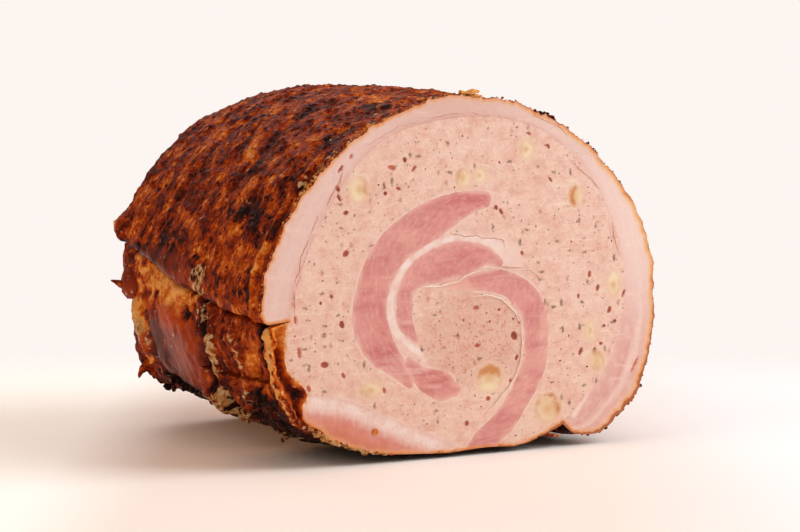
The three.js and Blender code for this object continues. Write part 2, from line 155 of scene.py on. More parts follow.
def curve_through(pairs, period=0):
    """A smooth function through (angle, value) pairs."""
    pairs = sorted(pairs)
    if period:
        before = [(a - period, v) for a, v in pairs]
        after = [(a + period, v) for a, v in pairs]
        pairs = before + pairs + after
    xs, ys = np.array(pairs, float).T
    ends = np.r_[0, np.arange(len(xs)), len(xs) - 1]
    slopes = (ys[ends[2:]] - ys[ends[:-2]]) / (xs[ends[2:]] - xs[ends[:-2]])

    def value(a):
        a = np.clip(a, xs[0], xs[-1])
        i = np.clip(np.searchsorted(xs, a) - 1, 0, len(xs) - 2)
        h = xs[i + 1] - xs[i]
        t = (a - xs[i]) / h
        t2, t3 = t * t, t * t * t
        return ((2 * t3 - 3 * t2 + 1) * ys[i] + (t3 - 2 * t2 + t) * h * slopes[i]
                + (3 * t2 - 2 * t3) * ys[i + 1] + (t3 - t2) * h * slopes[i + 1])
    return value


class Noise:
    """Seeded gradient noise, from about -1 to 1."""

    def __init__(self, seed):
        rng = np.random.default_rng(seed)
        self.order = np.tile(rng.permutation(256), 3)
        slopes = rng.normal(size=(256, 3))
        self.slopes = slopes / np.linalg.norm(slopes, axis=1)[:, None]

    def __call__(self, x, y, z=0.0):
        x, y, z = np.broadcast_arrays(np.asarray(x, float), y, z)
        cell = [np.floor(c).astype(int) for c in (x, y, z)]
        part = [c - f for c, f in zip((x, y, z), cell)]
        fade = [t * t * t * (t * (6 * t - 15) + 10) for t in part]
        total = np.zeros(x.shape)
        for corner in np.ndindex(2, 2, 2):
            i, j, k = [(f + c) & 255 for f, c in zip(cell, corner)]
            slope = self.slopes[self.order[self.order[self.order[i] + j] + k]]
            reach = [p - c for p, c in zip(part, corner)]
            weight = np.prod([f if c else 1 - f for f, c in zip(fade, corner)], axis=0)
            total += weight * sum(slope[..., n] * reach[n] for n in range(3))
        return total * 1.7

    def layers(self, x, y, z=0.0, count=4, gain=0.5):
        """Several scales of noise, each half as large as the one before."""
        total, weight, share = 0, 1.0, 0
        for _ in range(count):
            total = total + weight * self(x, y, z)
            share += weight
            weight *= gain
            x, y, z = 2.03 * x + 17.3, 2.03 * y + 5.1, 2.03 * z + 9.7
        return total / share


lumps, streaks, crags, grit = Noise(3), Noise(7), Noise(11), Noise(19)


# ------------------------------------------------------------------ the form of the roll

core_table = curve_through(CORE_RADII, 360)
thickness_table = curve_through(WRAP_THICKNESS)


def sin_d(angle):
    return np.sin(np.radians(angle))


def cos_d(angle):
    return np.cos(np.radians(angle))


def seam_shift(v):
    """Degrees that the seam has climbed, with the raggedness of its edge."""
    y = FRONT + v * LENGTH
    ragged = 1.1 * lumps.layers(y / 9.0, 3.3, count=3) * smooth(0, 0.04, v)
    return SEAM_CLIMB * np.power(v, 1.35) + ragged


def true_angle(u, v):
    """Where a point that starts at angle u of the cut face lies farther back."""
    follows = np.where(u >= NOTCH_ANGLE, smooth(60, SEAM_ANGLE, u), smooth(-148, SEAM_ANGLE - 360, u))
    return u - seam_shift(v) * follows


def below_seam(angle, v):
    """Degrees past the seam, over the bare flank."""
    return np.where(angle < NOTCH_ANGLE, angle + 360, angle) - (SEAM_ANGLE - seam_shift(v))


def above_table(angle):
    """1 for the roast, 0 for its flat underside."""
    return smooth(*FLAT, sin_d(angle))


def along_roast(angle, v):
    """The place along Y of a share of the length."""
    slant = END_SLANT * (1 - cos_d(angle - FARTHEST_ANGLE)) / 2
    return FRONT + v * (LENGTH - DOME - slant)


def barrel(angle, v):
    """How much fuller the roast is behind the cut."""
    return (BARREL * smooth(0, 0.55, v) * (1 - 0.35 * smooth(0.75, 1, v))
            * above_table(angle) * (0.85 + 0.25 * cos_d(angle - FULLEST_ANGLE)))


def end_inset(which, angle, v):
    """How far the rounding of the far end draws the surface in."""
    depth, inset = END_ROUNDING[which]
    t = np.clip((along_roast(angle, v) - (along_roast(angle, 1.0) - depth)) / depth, 0, 1)
    return inset * (1 - np.sqrt(1 - 0.96 * t * t))


def string_marks(angle, v, which):
    """Depth of the marks of the string, on the belly, 1, or the flank, 2."""
    y = along_roast(angle, v) + 1.2 * sin_d(2.3 * angle)
    return above_table(angle) * sum(mark[which] * bell(y - mark[0], STRING_WIDTH) for mark in STRING_MARKS)


def swelling(angle, v):
    """Broad, low swellings of the outside."""
    return above_table(angle) * (0.7 * np.sin(np.radians(5 * angle) + 7 * v)
                                 + 0.5 * np.sin(np.radians(9 * angle) - 13 * v))


def core_radius(angle, v):
    """Radius of the inner roll, which is also the bare flank."""
    below = below_seam(angle, v)
    bare = smooth(*BARE_RISE, below) * (1 - smooth(*BARE_FALL, angle))
    edge = FLANK_EDGE * mix(0.35, 1, smooth(0.0, 0.05, v))
    bulge = FLANK_BULGE * smooth(0, 1, below / edge) * (1 - smooth(*FLANK_FALL, below))
    marks = swelling(angle, v) - string_marks(angle, v, 2)
    end = mix(end_inset("wrap", angle, v), end_inset("flank", angle, v), bare)
    return core_table(angle) + barrel(angle, v) + bulge + bare * marks - end


def wrap_radius(angle, v):
    """Radius of the belly's outside, rounded at the seam and the notch."""
    def rounded(distance, reach, least):
        t = np.clip(distance / reach, 0, 1)
        return least + (1 - least) * np.sqrt(t * (2 - t))
    seam = SEAM_ANGLE - seam_shift(v)
    edges = rounded(seam - angle, *SEAM_ROUNDING) * rounded(angle - NOTCH_ANGLE, *NOTCH_ROUNDING)
    return (core_radius(np.minimum(angle, seam), v) + thickness_table(angle) * edges
            + 0.5 * swelling(angle, v) - string_marks(angle, v, 1) - end_inset("rind", angle, v))


def polar(angle, radius):
    return radius * cos_d(angle), CENTRE + radius * sin_d(angle)


# ------------------------------------------------------------------ the browned surface

ROLL_RADIUS = 70.0  # turns an angle into a length round the roast


def arc(angle):
    return np.radians(angle) * ROLL_RADIUS


# Patches of the belly's crust: angle, place along the roast, half size round and along, change of tone.
WRAP_PATCHES = [
    (166, 44, 5, 6, 0.3), (156, 46, 6, 6, 0.22), (134, 28, 3, 12, 0.3), (140, -10, 9, 4, 0.34),
    (158, 53, 5, 6, 0.22), (171, -33, 5, 18, 0.22), (174, -59, 9, 5, 0.3), (151, -32, 2.5, 16, 0.24),
    (136, -41, 5, 5, 0.24), (104, -38, 6, 26, 0.26), (120, 8, 4, 9, 0.16), (98, 10, 5, 22, 0.16),
    (84, -20, 5, 24, 0.12), (60, 0, 8, 30, 0.16), (30, -10, 12, 30, 0.14), (0, 15, 12, 22, 0.16),
    (136, 0, 5, 4, -0.32), (143, -23, 7, 5, -0.4), (160, -36, 4, 13, -0.4), (140, -50, 12, 4, -0.24),
    (168, 8, 4, 11, -0.26), (174, 18, 6, 18, -0.22), (119, -18, 8, 4, -0.34), (127, 8, 4, 6, -0.28),
    (112, -46, 5, 9, -0.24), (150, 14, 4, 9, -0.16), (92, -58, 6, 6, -0.42), (75, 30, 6, 18, -0.2),
    (45, 25, 9, 20, -0.2), (14, -30, 9, 18, -0.22), (-20, 10, 12, 30, -0.24), (-44, -20, 8, 34, -0.34),
    (175, 22, 4, 40, -0.18),
]
# The same for the bare flank and underside: orange rind, the dark glazed lump, and painted shade in the
# seams and in the pit beside the lump.
FLANK_PATCHES = [
    (177, 14, 11, 34, 0.74), (-174, 6, 6, 17, 0.6), (-165, 43, 8, 9, 1.1), (-168, -61, 18, 3.6, 0.6),
    (-161, -49, 8, 8, 0.42), (-172, -34, 6, 12, 0.1), (-172, -4, 1.6, 3.2, -1.6), (-178, 50, 6, 8, -0.1),
    (-162, 28, 11, 13, -0.35), (-163, -4, 9, 11, 0.2), (-149, 18, 4, 30, -0.6), (-146, -46, 8, 18, -0.55),
    (-136, 12, 9, 50, -0.7), (-150, 47, 5, 6, 0.35), (-146, -12, 4, 8, -0.3), (-120, -20, 14, 60, -0.6),
    (-158, -31, 9, 4, 0.1),
]
# Where pale shreds of fat show: angle, place along, half sizes, strength.
CREAM_PATCHES = {
    "wrap": [(178.5, -17, 4.5, 5.5, 0.75), (133, -51, 10, 2.2, 0.4), (142, -61, 6, 2.0, 0.6),
             (149, -60, 2.5, 1.8, 0.75), (117, -52, 3, 2.0, 0.4)],
    "flank": [(-171, -60.5, 2.0, 2.2, 0.7), (-134, -34, 5, 7, 0.35), (-128, -46, 8, 10, 0.35),
              (-172, -14, 2.5, 4, 0.55), (-165, 40, 3.5, 4, 0.5)],
}
# The smooth dark lump in the flank, and the greyish glaze beside it on the belly.
GLAZES = {"flank": [(-161.5, 12, 12.5, 28)], "wrap": [(177, 12, 5, 24)]}
# Raised threads of rind: from one angle to another, place along the roast, height.
RIDGES = [
    (140, 188, -57.6, 1.3), (146, 176, -33, 0.5), (118, 160, 1.5, 0.5), (70, 150, 22, 0.5),
    (100, 168, 39, 0.5),
]
RIDGE_WIDTH = 0.9
# Ragged lines on the flank through (angle, place along) points: half width, height, cream, change of tone.
# The lines with a negative height are grooves, darkened with painted shade.
FRINGES = [
    ([(-176, -18), (-171, -23.5), (-167, -25)], 1.3, 1.2, 0.5, 0.0),
    ([(-167, -25), (-161, -24.5), (-155, -19.5), (-149, -14)], 2.6, 1.8, 0.95, 0.1),
    ([(-170, -38), (-166, -42), (-161, -40), (-155, -38), (-149, -34), (-141, -25)], 1.5, 1.3, 0.75, 0.1),
    ([(-150, -11), (-143, -13), (-136, -19), (-128, -28)], 4.6, 2.2, 0.9, 0.1),
    ([(-166, -64), (-157, -64), (-150, -63), (-143, -61)], 1.7, 1.0, 0.55, 0.3),
    ([(-170, 47), (-167, 42), (-161, 37)], 3.6, 2.6, 0.7, 0.9),
    ([(-177, -16.2), (-169, -16), (-160, -16), (-152, -13)], 1.0, -2.0, -1.0, -0.9),
    ([(-172, -58), (-166, -56.5), (-159, -57), (-152, -57)], 1.2, -2.2, -1.0, -1.0),
    ([(-171, -62.5), (-163, -62), (-154, -61.5), (-147, -60)], 2.2, 0.9, 0.1, 0.22),
    ([(-175, -60.5), (-171, -57.5)], 1.9, -2.4, -1.0, -1.2),
    ([(-160, -52), (-152, -44), (-146, -38)], 1.0, -1.0, -0.5, -0.5),
    ([(-175, -31), (-166, -33), (-158, -32)], 0.9, -1.0, -0.5, -0.4),
]
# Single forms, each an angle, a place along the roast and half sizes: the end that flares out behind the
# seam, a pit beside the glazed lump, and the underside that is tucked in at the back.
FLARE = (172, 57, 7, 9)
FLANK_PIT = (-172, -4, 1.8, 3.4)
TUCKED = (-137, 30, 17, 48)
# How strongly the patches change the tone, how rough its noise is, and the noise's size in millimetres.
PATCH_SHARE = {"wrap": 0.55, "flank": 0.62}
RUGGED = {"wrap": 1.0, "flank": 0.74}
NOISE_SCALE = {"wrap": (4.0, 2.9), "flank": (3.6, 3.4)}


def edge_noise(angle, y):
    """Two fields of noise that make the edges of patches and lines ragged."""
    s = arc(angle)
    return lumps.layers(s / 6.0, y / 5.0, 0.7, count=3), crags.layers(s / 4.0, y / 4.0, 40.0, count=3)


def patch(angle, y, where, noise, ragged=0.35):
    """How far a point is inside a soft patch with an uneven edge, from 0 to 1."""
    a0, y0, half_angle, half_length = where
    turn = (angle - a0 + 180) % 360 - 180
    distance = np.hypot(turn / half_angle, (y - y0) / half_length)
    uneven = math.cos(a0) * noise[0] + math.sin(a0) * noise[1]
    return 1 - smooth(0.55, 1.25, distance + 1.3 * ragged * uneven)


def glaze_at(kind, angle, y, noise):
    """How smooth and dark the surface is, from 0 to 1."""
    return np.maximum.reduce([patch(angle, y, where, noise, 0.3) for where in GLAZES[kind]])


def line_distance(angle, y, line, noise):
    """Distance over the surface to a line through (angle, place along) points, with a ragged edge."""
    s = arc(np.where(angle > 90, angle - 360, angle))
    nearest_yet = np.full(np.shape(s), 99.0)
    for (a0, y0), (a1, y1) in zip(line[:-1], line[1:]):
        s0, s1 = arc(a0), arc(a1)
        length = math.hypot(s1 - s0, y1 - y0)
        t = np.clip(((s - s0) * (s1 - s0) + (y - y0) * (y1 - y0)) / length ** 2, 0, 1)
        nearest_yet = np.minimum(nearest_yet, np.hypot(s - s0 - t * (s1 - s0), y - y0 - t * (y1 - y0)))
    return nearest_yet + 1.4 * noise[1] + 0.8 * noise[0]


def ridges(angle, y):
    """Height of the raised threads, each with a groove before it."""
    total = 0
    for low, high, place, height in RIDGES:
        off = y - place - 1.6 * lumps(arc(angle) / 13.0, place, 1.0)
        stretch = smooth(low - 6, low + 4, angle) * (1 - smooth(high - 4, high + 6, angle))
        total = total + height * stretch * (bell(off, RIDGE_WIDTH) - 0.7 * bell(off + 2.3, RIDGE_WIDTH))
    return total


def wrap_relief(angle, y, noise):
    """Height of the belly's crust, in millimetres, and the streaks that made it, with painted highlight on
    the raised threads.
    """
    s = arc(angle)
    streak = streaks.layers(s / 4.6, y / 3.2, 1.5, count=3)
    lump = lumps.layers(s / 12.0, y / 8.5, 4.5, count=2)
    flake = smooth(0.1, 0.4, crags.layers(s / 3.6, y / 2.8, 2.0, count=2))
    ridge = ridges(angle, y)
    rough = (0.9 * streak + 0.5 * flake) * (1 - 0.6 * glaze_at("wrap", angle, y, noise))
    height = 0.9 * lump + rough + 0.2 * grit(s / 1.7, y / 1.5) + ridge
    flare = 2.4 * patch(angle, y, FLARE, noise, 0.3)
    # The second value darkens the tone: the raised threads lighten it, painted highlight, and the grooves
    # before them darken it, painted shade.
    return height * (0.25 + 0.75 * above_table(angle)) + flare, streak + 0.4 * flake - 0.8 * ridge


def flank_relief(angle, y, noise):
    """The same for the bare flank."""
    s = arc(angle)
    glaze = glaze_at("flank", angle, y, noise)
    lump = lumps.layers(s / 15.0, y / 13.0, 3.0, count=2)
    coarse = crags.layers(s / 5.5, y / 5.0, 7.0, count=3)
    shred = np.abs(streaks.layers(s / 6.5, y / 4.5, 8.0, count=3))
    height = 1.8 * lump + 1.7 * coarse + 1.3 * (shred - 0.25) + 0.25 * grit(s / 1.8, y / 1.8)
    height = height * (1 - 0.94 * glaze) + 2.0 * glaze - 3.0 * patch(angle, y, FLANK_PIT, noise, 0.2)
    tucked = 4.5 * patch(angle, y, TUCKED, noise, 0.2) * smooth(-115, -125, angle)
    return height * (0.15 + 0.85 * above_table(angle)) - tucked, coarse - 0.4 * shred


def add_fringes(angle, y, noise, height, tone, cream):
    """Adds the ragged lines of the flank to its height and looks."""
    for line, width, high, pale, change in FRINGES:
        near = 1 - smooth(0.5 * width, 1.3 * width, line_distance(angle, y, line, noise))
        height = height + high * near * above_table(angle)
        cream = np.clip(cream + pale * near * np.clip(0.8 + 0.9 * noise[1], 0.25, 1.15), 0, 1)
        tone = tone + PATCH_SHARE["flank"] * change * near
    return height, tone, cream


def browned(kind, angle, v):
    """Radius and looks of the browned surface: where it lies, its tone from black to orange, its cream."""
    y = along_roast(angle, v)
    noise = edge_noise(angle, y)
    is_wrap = kind == "wrap"
    if is_wrap:
        height, streak = wrap_relief(angle, y, noise)
        radius = wrap_radius(angle, v)
        tone = 0.56 - 0.14 * streak + 0.08 * lumps.layers(arc(angle) / 14, y / 10, 6.0, count=2)
    else:
        height, coarse = flank_relief(angle, y, noise)
        radius = core_radius(angle, v)
        tone = 0.49 - 0.12 * coarse
    for *where, change in WRAP_PATCHES if is_wrap else FLANK_PATCHES:
        tone = tone + PATCH_SHARE[kind] * change * patch(angle, y, where, noise, 0.8)
    cream = 0 * tone
    for *where, strength in CREAM_PATCHES[kind]:
        cream = np.maximum(cream, strength * patch(angle, y, where, noise, 0.9))
    if not is_wrap:
        tone = np.clip(tone, 0, 1.0 + 0.15 * noise[0] + 0.15 * coarse)
        height, tone, cream = add_fringes(angle, y, noise, height, tone, cream)
        height = height * smooth(0, mix(0.8, 3.0, smooth(0.0, 0.05, v)), below_seam(angle, v))
    marks = string_marks(angle, v, 1 if is_wrap else 2)
    tone = tone - 0.06 * marks - 0.3 * (1 - above_table(angle))
    roll = np.stack([arc(angle) / NOISE_SCALE[kind][0], y / NOISE_SCALE[kind][1], 0 * y], -1)
    return radius + height, y, looks_of(tone, cream, RUGGED[kind], roll, glaze_at(kind, angle, y, noise))


def looks_of(tone, cream, rugged, roll, glaze=0.0):
    """What the crust's material reads at each point."""
    rest = 0 * tone
    return {"tone": tone, "cream": cream + rest, "glaze": glaze + rest, "rugged": rugged + rest,
            "roll": roll}


def surface_point(kind, u, across, v):
    """A point of the outside. Across runs from the belly's inner side, 0, to its crust, 1."""
    angle = true_angle(u, v)
    radius, y, looks = browned(kind, angle, v)
    if kind == "wrap":
        inner = core_radius(np.minimum(angle, SEAM_ANGLE - seam_shift(v)), v)
        radius = inner + across * (radius - inner)
        # Darker towards the inner side: painted shade in the seam and the notch.
        looks["tone"] = looks["tone"] - 0.12 * (1 - across)
    x, z = polar(angle, radius)
    return np.stack([x, y + 0 * x, np.maximum(z, 0)], -1), looks


# ------------------------------------------------------------------ the plan of the cut face

def spaced(points, step, closed=False):
    """The same line with evenly spaced points."""
    points = np.asarray(points, float)
    if closed:
        points = np.vstack([points, points[:1]])
    run = np.r_[0, np.cumsum(np.linalg.norm(np.diff(points, axis=0), axis=1))]
    count = max(2, int(round(run[-1] / step)))
    at = np.linspace(0, run[-1], count + 1)
    if closed:
        at = at[:-1]
    return np.stack([np.interp(at, run, points[:, k]) for k in range(points.shape[1])], -1)


def inside(points, polygon):
    """Which points lie inside a closed polygon."""
    points, polygon = np.asarray(points, float), np.asarray(polygon, float)
    low, high = polygon.min(0), polygon.max(0)
    near = np.all((points >= low) & (points <= high), axis=1)
    found = np.zeros(len(points), bool)
    px, pz = points[near, 0], points[near, 1]
    odd = np.zeros(len(px), bool)
    for (x0, z0), (x1, z1) in zip(polygon, np.roll(polygon, -1, axis=0)):
        crosses = (z0 > pz) != (z1 > pz)
        if z0 != z1:
            odd ^= crosses & (px < (x1 - x0) * (pz - z0) / (z1 - z0) + x0)
    found[near] = odd
    return found


def spline(points, steps=16):
    """A smooth line through points, as three.js's SplineCurve draws it."""
    p = np.array(points, float)
    p = np.vstack([p[:1], p, p[-1:]])
    t = np.linspace(0, 1, steps, endpoint=False)[:, None]
    parts = []
    for a, b, c, d in zip(p[:-3], p[1:-2], p[2:-1], p[3:]):
        parts.append(b + 0.5 * t * (c - a + t * (2 * a - 5 * b + 4 * c - d + t * (3 * (b - c) + d - a))))
    return np.vstack(parts + [p[-1:]])


def strip_outline(line, widths, wobble):
    """The outline of a strip, with round ends and an edge as uneven as cut meat."""
    middle = spline(line)
    along = np.gradient(middle, axis=0)
    along /= np.linalg.norm(along, axis=1)[:, None]
    side = np.stack([-along[:, 1], along[:, 0]], -1)
    width = curve_through([(i / (len(widths) - 1), w) for i, w in enumerate(widths)])
    half = width(np.linspace(0, 1, len(middle)))[:, None] / 2
    turns = np.radians(np.linspace(-80, 80, 9))[:, None]

    def end(k, direction):
        ahead, aside = direction * along[k] * np.cos(turns), side[k] * direction * np.sin(turns)
        return middle[k] + half[k] * (ahead - aside)
    left, right = middle + side * half, (middle - side * half)[::-1]
    loop = spaced(np.vstack([left, end(-1, 1), right, end(0, -1)]), FINE, closed=True)
    out = np.roll(loop, -1, 0) - np.roll(loop, 1, 0)
    out = np.stack([out[:, 1], -out[:, 0]], -1) / np.linalg.norm(out, axis=1)[:, None]
    uneven = lumps.layers(loop[:, 0] / 4.5, loop[:, 1] / 4.5, 12.0, count=3)
    return loop + out * (wobble * uneven)[:, None]


def nut_outline(x, z, half_width, half_height):
    """A slightly uneven ellipse."""
    count = max(10, int(2 * math.pi * max(half_width, half_height) / FINE))
    turn = np.linspace(0, 2 * math.pi, count, endpoint=False)
    uneven = 1 + 0.05 * lumps(np.cos(turn) * 1.3 + x, np.sin(turn) * 1.3 + z)
    return np.stack([x + half_width * uneven * np.cos(turn), z + half_height * uneven * np.sin(turn)], -1)


# Air holes in the cut face: place and half sizes, and the turn of the long ones in degrees.
AIR_HOLES = [
    (19, 40, 1.4, 1.8, 20), (50, 60, 0.8, 1.4, -12), (53.5, 55, 0.8, 1.4, -18), (-47, 71, 1.5, 1.1, 40),
    (3.5, 50.5, 1.3, 0.8, 10), (4, 37.5, 1.3, 0.7, 0), (-64.5, 39, 0.7, 2.0, 4), (-55, 34.5, 1.7, 1.2, 0),
    (-48.5, 47.5, 1.0, 1.5, 15), (-48, 30.5, 0.7, 1.2, 35), (-61, 27, 0.8, 1.3, 20),
    (20, 32.5, 0.7, 1.2, -25), (-32.5, 24.5, 0.6, 1.2, 10), (32.5, 105, 0.7, 1.1, 40),
    (46.5, 33, 0.7, 1.7, -25), (52, 33, 0.6, 1.5, -40), (55, 35.3, 0.9, 0.6, 0), (58.5, 47, 0.8, 1.5, -30),
    (11.5, 84.5, 0.8, 1.0, 20), (13.5, 83, 0.7, 1.4, 35), (-29.5, 99, 1.7, 0.9, -8),
    (-24.5, 101.5, 0.8, 1.0, 0), (-21, 98.5, 0.6, 1.4, -40), (-32, 90.5, 0.8, 0.8, 0),
    (-27, 92, 1.1, 0.6, -20), (-50, 92.5, 0.8, 1.3, 30), (-49.5, 89.5, 0.6, 1.5, 25),
    (-47, 84.5, 1.1, 0.8, 20), (0, 11, 0.9, 1.0, 0), (8.5, 19, 1.0, 0.9, 0), (22, 68.5, 0.7, 0.9, 30),
    (45.5, 52.5, 0.5, 1.0, 0), (64.5, 52.5, 0.5, 1.8, -25), (69.5, 27, 0.45, 3.4, -28),
    (-49, 99, 0.5, 1.8, -38), (-45, 103, 0.4, 1.2, -40), (33, 18.2, 2.2, 0.45, 0),
    (17.5, 24.6, 0.5, 0.8, 0), (-56.5, 55, 0.6, 0.7, 0), (-52.5, 57, 0.5, 0.9, 15),
    (24.5, 109.5, 1.2, 0.4, -12), (33.5, 93.5, 0.5, 1.3, 42), (61, 43, 0.6, 0.8, 0),
    (56.5, 41.5, 0.6, 0.7, 0), (9, 45.5, 0.6, 0.5, 0), (-1.5, 46.5, 0.5, 0.6, 0), (21, 44.5, 0.5, 0.6, 0),
    (-66, 50, 0.5, 1.6, 8),
]
SMALL_HOLES, HOLE_SPACING = 110, 2.2
HOLE_RINGS = ((1.0, 12), (0.8, 12), (0.45, 8), (0.0, 1))  # share of the half sizes, points


def scatter(count, rng, polygon, spacing):
    """Random points in a polygon that keep apart."""
    low, high = np.min(polygon, 0), np.max(polygon, 0)
    kept = []
    while len(kept) < count:
        batch = rng.uniform(low, high, (count * 4, 2))
        for point in batch[inside(batch, polygon)]:
            if all(np.hypot(*(point - other)) > spacing for other in kept):
                kept.append(point)
                if len(kept) == count:
                    break
    return np.array(kept)


class Plan:
    """Points and lines in the plane of the cut, to be triangulated."""

    def __init__(self):
        self.points, self.lines = [], []

    def add(self, points, closed=False, joined=True):
        start = len(self.points)
        self.points += [tuple(p) for p in points]
        here = list(range(start, len(self.points)))
        if joined:
            self.lines += list(zip(here[:-1], here[1:]))
            if closed:
                self.lines.append((here[-1], here[0]))
        return here

    def triangulated(self):
        """The points, the triangles, all turned the same way, and the new number of each old point."""
        made = delaunay_2d_cdt([Vector(p) for p in self.points], self.lines, [], 0, 1e-6, True)
        points, triangles = np.array([tuple(p) for p in made[0]]), np.array(made[2])
        corner = points[triangles]
        turn = np.cross(corner[:, 1] - corner[:, 0], corner[:, 2] - corner[:, 0])
        triangles[turn < 0] = triangles[turn < 0][:, ::-1]
        became = np.full(len(self.points), -1)
        for new, olds in enumerate(made[3]):
            became[olds] = new
        return points, triangles, became


def outlines():
    """The outlines of the whole face: the crust, the inner side of the belly and the bare rind."""
    def line(kind, us, across):
        points, _ = surface_point(kind, us, across, np.zeros(len(us)))
        return np.column_stack([points[:, 0], points[:, 2], us, across + 0 * us])
    covered = np.linspace(SEAM_ANGLE, NOTCH_ANGLE, 3000)
    bare = np.r_[np.linspace(NOTCH_ANGLE, -170, 2000), np.linspace(-170, SEAM_ANGLE - 360, 400)[1:]]
    crust = spaced(line("wrap", covered, 1.0), FINE)
    shared = spaced(line("wrap", covered, 0.0), FINE)
    rind = spaced(line("flank", bare, 0.0), FINE)
    seam = line("wrap", np.full(17, SEAM_ANGLE), np.linspace(1, 0, 17))[1:-1]
    notch = line("wrap", np.full(12, NOTCH_ANGLE), np.linspace(1, 0, 12))[1:-1]
    shared[0, :2] = rind[-1, :2]
    shared[-1, :2] = rind[0, :2]
    return crust, seam, shared, notch, rind


RIMS = ("crust", "seam", "shared", "notch", "rind")  # in the order of outlines()
REGIONS = ["outside", "belly_wrap", "forcemeat", "belly_base", "fat_layer", "loin_lower", "loin_middle",
           "loin_outer", "loin_right"] + [f"nut_{i + 1:02d}" for i in range(len(NUTS))]
WRAP, FIRST_SHAPE, FIRST_NUT = 1, 3, 9
WOBBLE = {"loin_right": 0.55, "loin_outer": 0.5, "loin_middle": 0.6, "loin_lower": 0.9, "fat_layer": 0.7}


def draw_face():
    """Triangulates the cut face and says which piece each triangle belongs to."""
    lines = outlines()
    crust, seam, shared, notch, rind = [line[:, :2] for line in lines]
    core = np.vstack([shared, rind[1:-1]])
    wrap = np.vstack([crust, notch, shared[::-1], seam[::-1]])
    whole = np.vstack([crust, notch, rind, seam[::-1]])
    plan = Plan()
    numbers = add_rims(plan, crust, seam, shared, notch, rind)
    shapes = add_shapes(plan, numbers[-1], rind, core)
    lip = lip_line()
    plan.add(lip[nearest(lip, whole) > LIP_GAP])
    holes = air_holes(core, shapes, plan.points)
    add_holes(plan, holes)
    add_grid(plan, whole)
    points, triangles, became = plan.triangulated()
    region = regions_of(points[triangles].mean(1), wrap, core, shapes)
    triangles, region = triangles[region > 0], region[region > 0]
    region = join_scraps(points, triangles, region)
    rims = {name: (became[which], line) for name, which, line in zip(RIMS, numbers, lines)}
    return points, triangles, region, rims, holes


def add_rims(plan, crust, seam, shared, notch, rind):
    """Adds the outlines, joined where they meet, and returns the numbers of their points."""
    i_crust, i_shared = plan.add(crust), plan.add(shared)
    i_seam, i_notch = plan.add(seam, joined=False), plan.add(notch, joined=False)
    i_rind = [i_shared[-1]] + plan.add(rind[1:-1], joined=False) + [i_shared[0]]
    seam_chain = [i_crust[0]] + i_seam + [i_shared[0]]
    notch_chain = [i_crust[-1]] + i_notch + [i_shared[-1]]
    for chain in (seam_chain, notch_chain, i_rind):
        plan.lines += list(zip(chain[:-1], chain[1:]))
    return i_crust, i_seam, i_shared, i_notch, i_rind


def add_shapes(plan, i_rind, rind, core):
    """Adds the strips, the second piece of belly and the nuts, and returns their outlines."""
    shapes = {}
    for name, (line, widths) in STRIPS.items():
        loop = strip_outline(line, widths, WOBBLE[name])
        if name == "loin_right":
            path = np.roll(loop, -int(np.argmin(loop[:, 1])), axis=0)
            loop = cross_rim(plan, path, i_rind, rind, core, [(path[-1, 0], -40), (path[0, 0], -40)])
        else:
            plan.add(loop, closed=True)
        shapes[name] = loop
    edge = spaced(spline(BASE_EDGE), FINE)
    edge[:, 1] += 0.5 * lumps.layers(edge[:, 0] / 5, 1.0, 2.0, count=3)
    corners = [(edge[-1, 0], -60), (-150, -60), (-150, edge[0, 1])]
    shapes["belly_base"] = cross_rim(plan, edge, i_rind, rind, core, corners)
    for name, nut in zip(REGIONS[FIRST_NUT:], NUTS):
        shapes[name] = nut_outline(*nut)
        plan.add(shapes[name], closed=True)
    return shapes


def add_holes(plan, holes):
    """Adds rings of points round each air hole, fewer for the small ones."""
    for x, z, half_x, half_z, turn, _ in holes:
        for reach, count in HOLE_RINGS:
            count = count if half_x * half_z > 0.5 else max(1, count // 2)
            plan.add(ring(x, z, half_x * reach, half_z * reach, turn, count), joined=False)


def add_grid(plan, whole):
    """Fills the face with slightly uneven rows of points that keep clear of the lines."""
    tree = tree_of(np.array(plan.points))
    low, high = whole.min(0), whole.max(0)
    rows, columns = np.arange(low[1], high[1], GRID * 0.87), np.arange(low[0], high[0], GRID)
    spots = np.array([(x + (k % 2) * GRID / 2, z) for k, z in enumerate(rows) for x in columns])
    spots = spots + np.random.default_rng(5).uniform(-0.16, 0.16, (len(spots), 2)) * GRID
    spots = spots[inside(spots, whole)]
    gap = np.array([tree.find((x, z, 0))[2] for x, z in spots])
    plan.add(spots[gap > 0.62 * GRID], joined=False)


def regions_of(middle, wrap, core, shapes):
    """The number of the piece that each point lies in."""
    region = np.zeros(len(middle), int)
    region[inside(middle, wrap)] = WRAP
    in_core = inside(middle, core)
    region[in_core] = REGIONS.index("forcemeat")
    for number, name in enumerate(REGIONS[FIRST_SHAPE:], FIRST_SHAPE):
        region[in_core & inside(middle, shapes[name])] = number
    return region


def cross_rim(plan, path, i_rind, rind, core, outside_points):
    """Adds a line that enters and leaves the face through its bare rim, and returns its whole polygon."""
    gap = np.min(np.linalg.norm(path[:, None] - rind[None], axis=2), axis=1)
    kept = np.flatnonzero(inside(path, core) & (gap > 0.6 * FINE))
    body = path[kept[0]:kept[-1] + 1]
    starts, ends = (int(np.argmin(np.linalg.norm(rind - body[k], axis=1))) for k in (0, -1))
    here = plan.add(body)
    plan.lines += [(i_rind[starts], here[0]), (here[-1], i_rind[ends])]
    return np.vstack([rind[starts], body, rind[ends], outside_points])


def ring(x, z, half_x, half_z, turn, count):
    """Points on a turned ellipse."""
    t = np.linspace(0, 2 * math.pi, count, endpoint=False) + 0.3
    c, s = math.cos(math.radians(turn)), math.sin(math.radians(turn))
    a, b = half_x * np.cos(t), half_z * np.sin(t)
    return np.stack([x + c * a - s * b, z + s * a + c * b], -1)


def tree_of(points):
    tree = kdtree.KDTree(len(points))
    for i, (x, z) in enumerate(points):
        tree.insert((x, z, 0), i)
    tree.balance()
    return tree


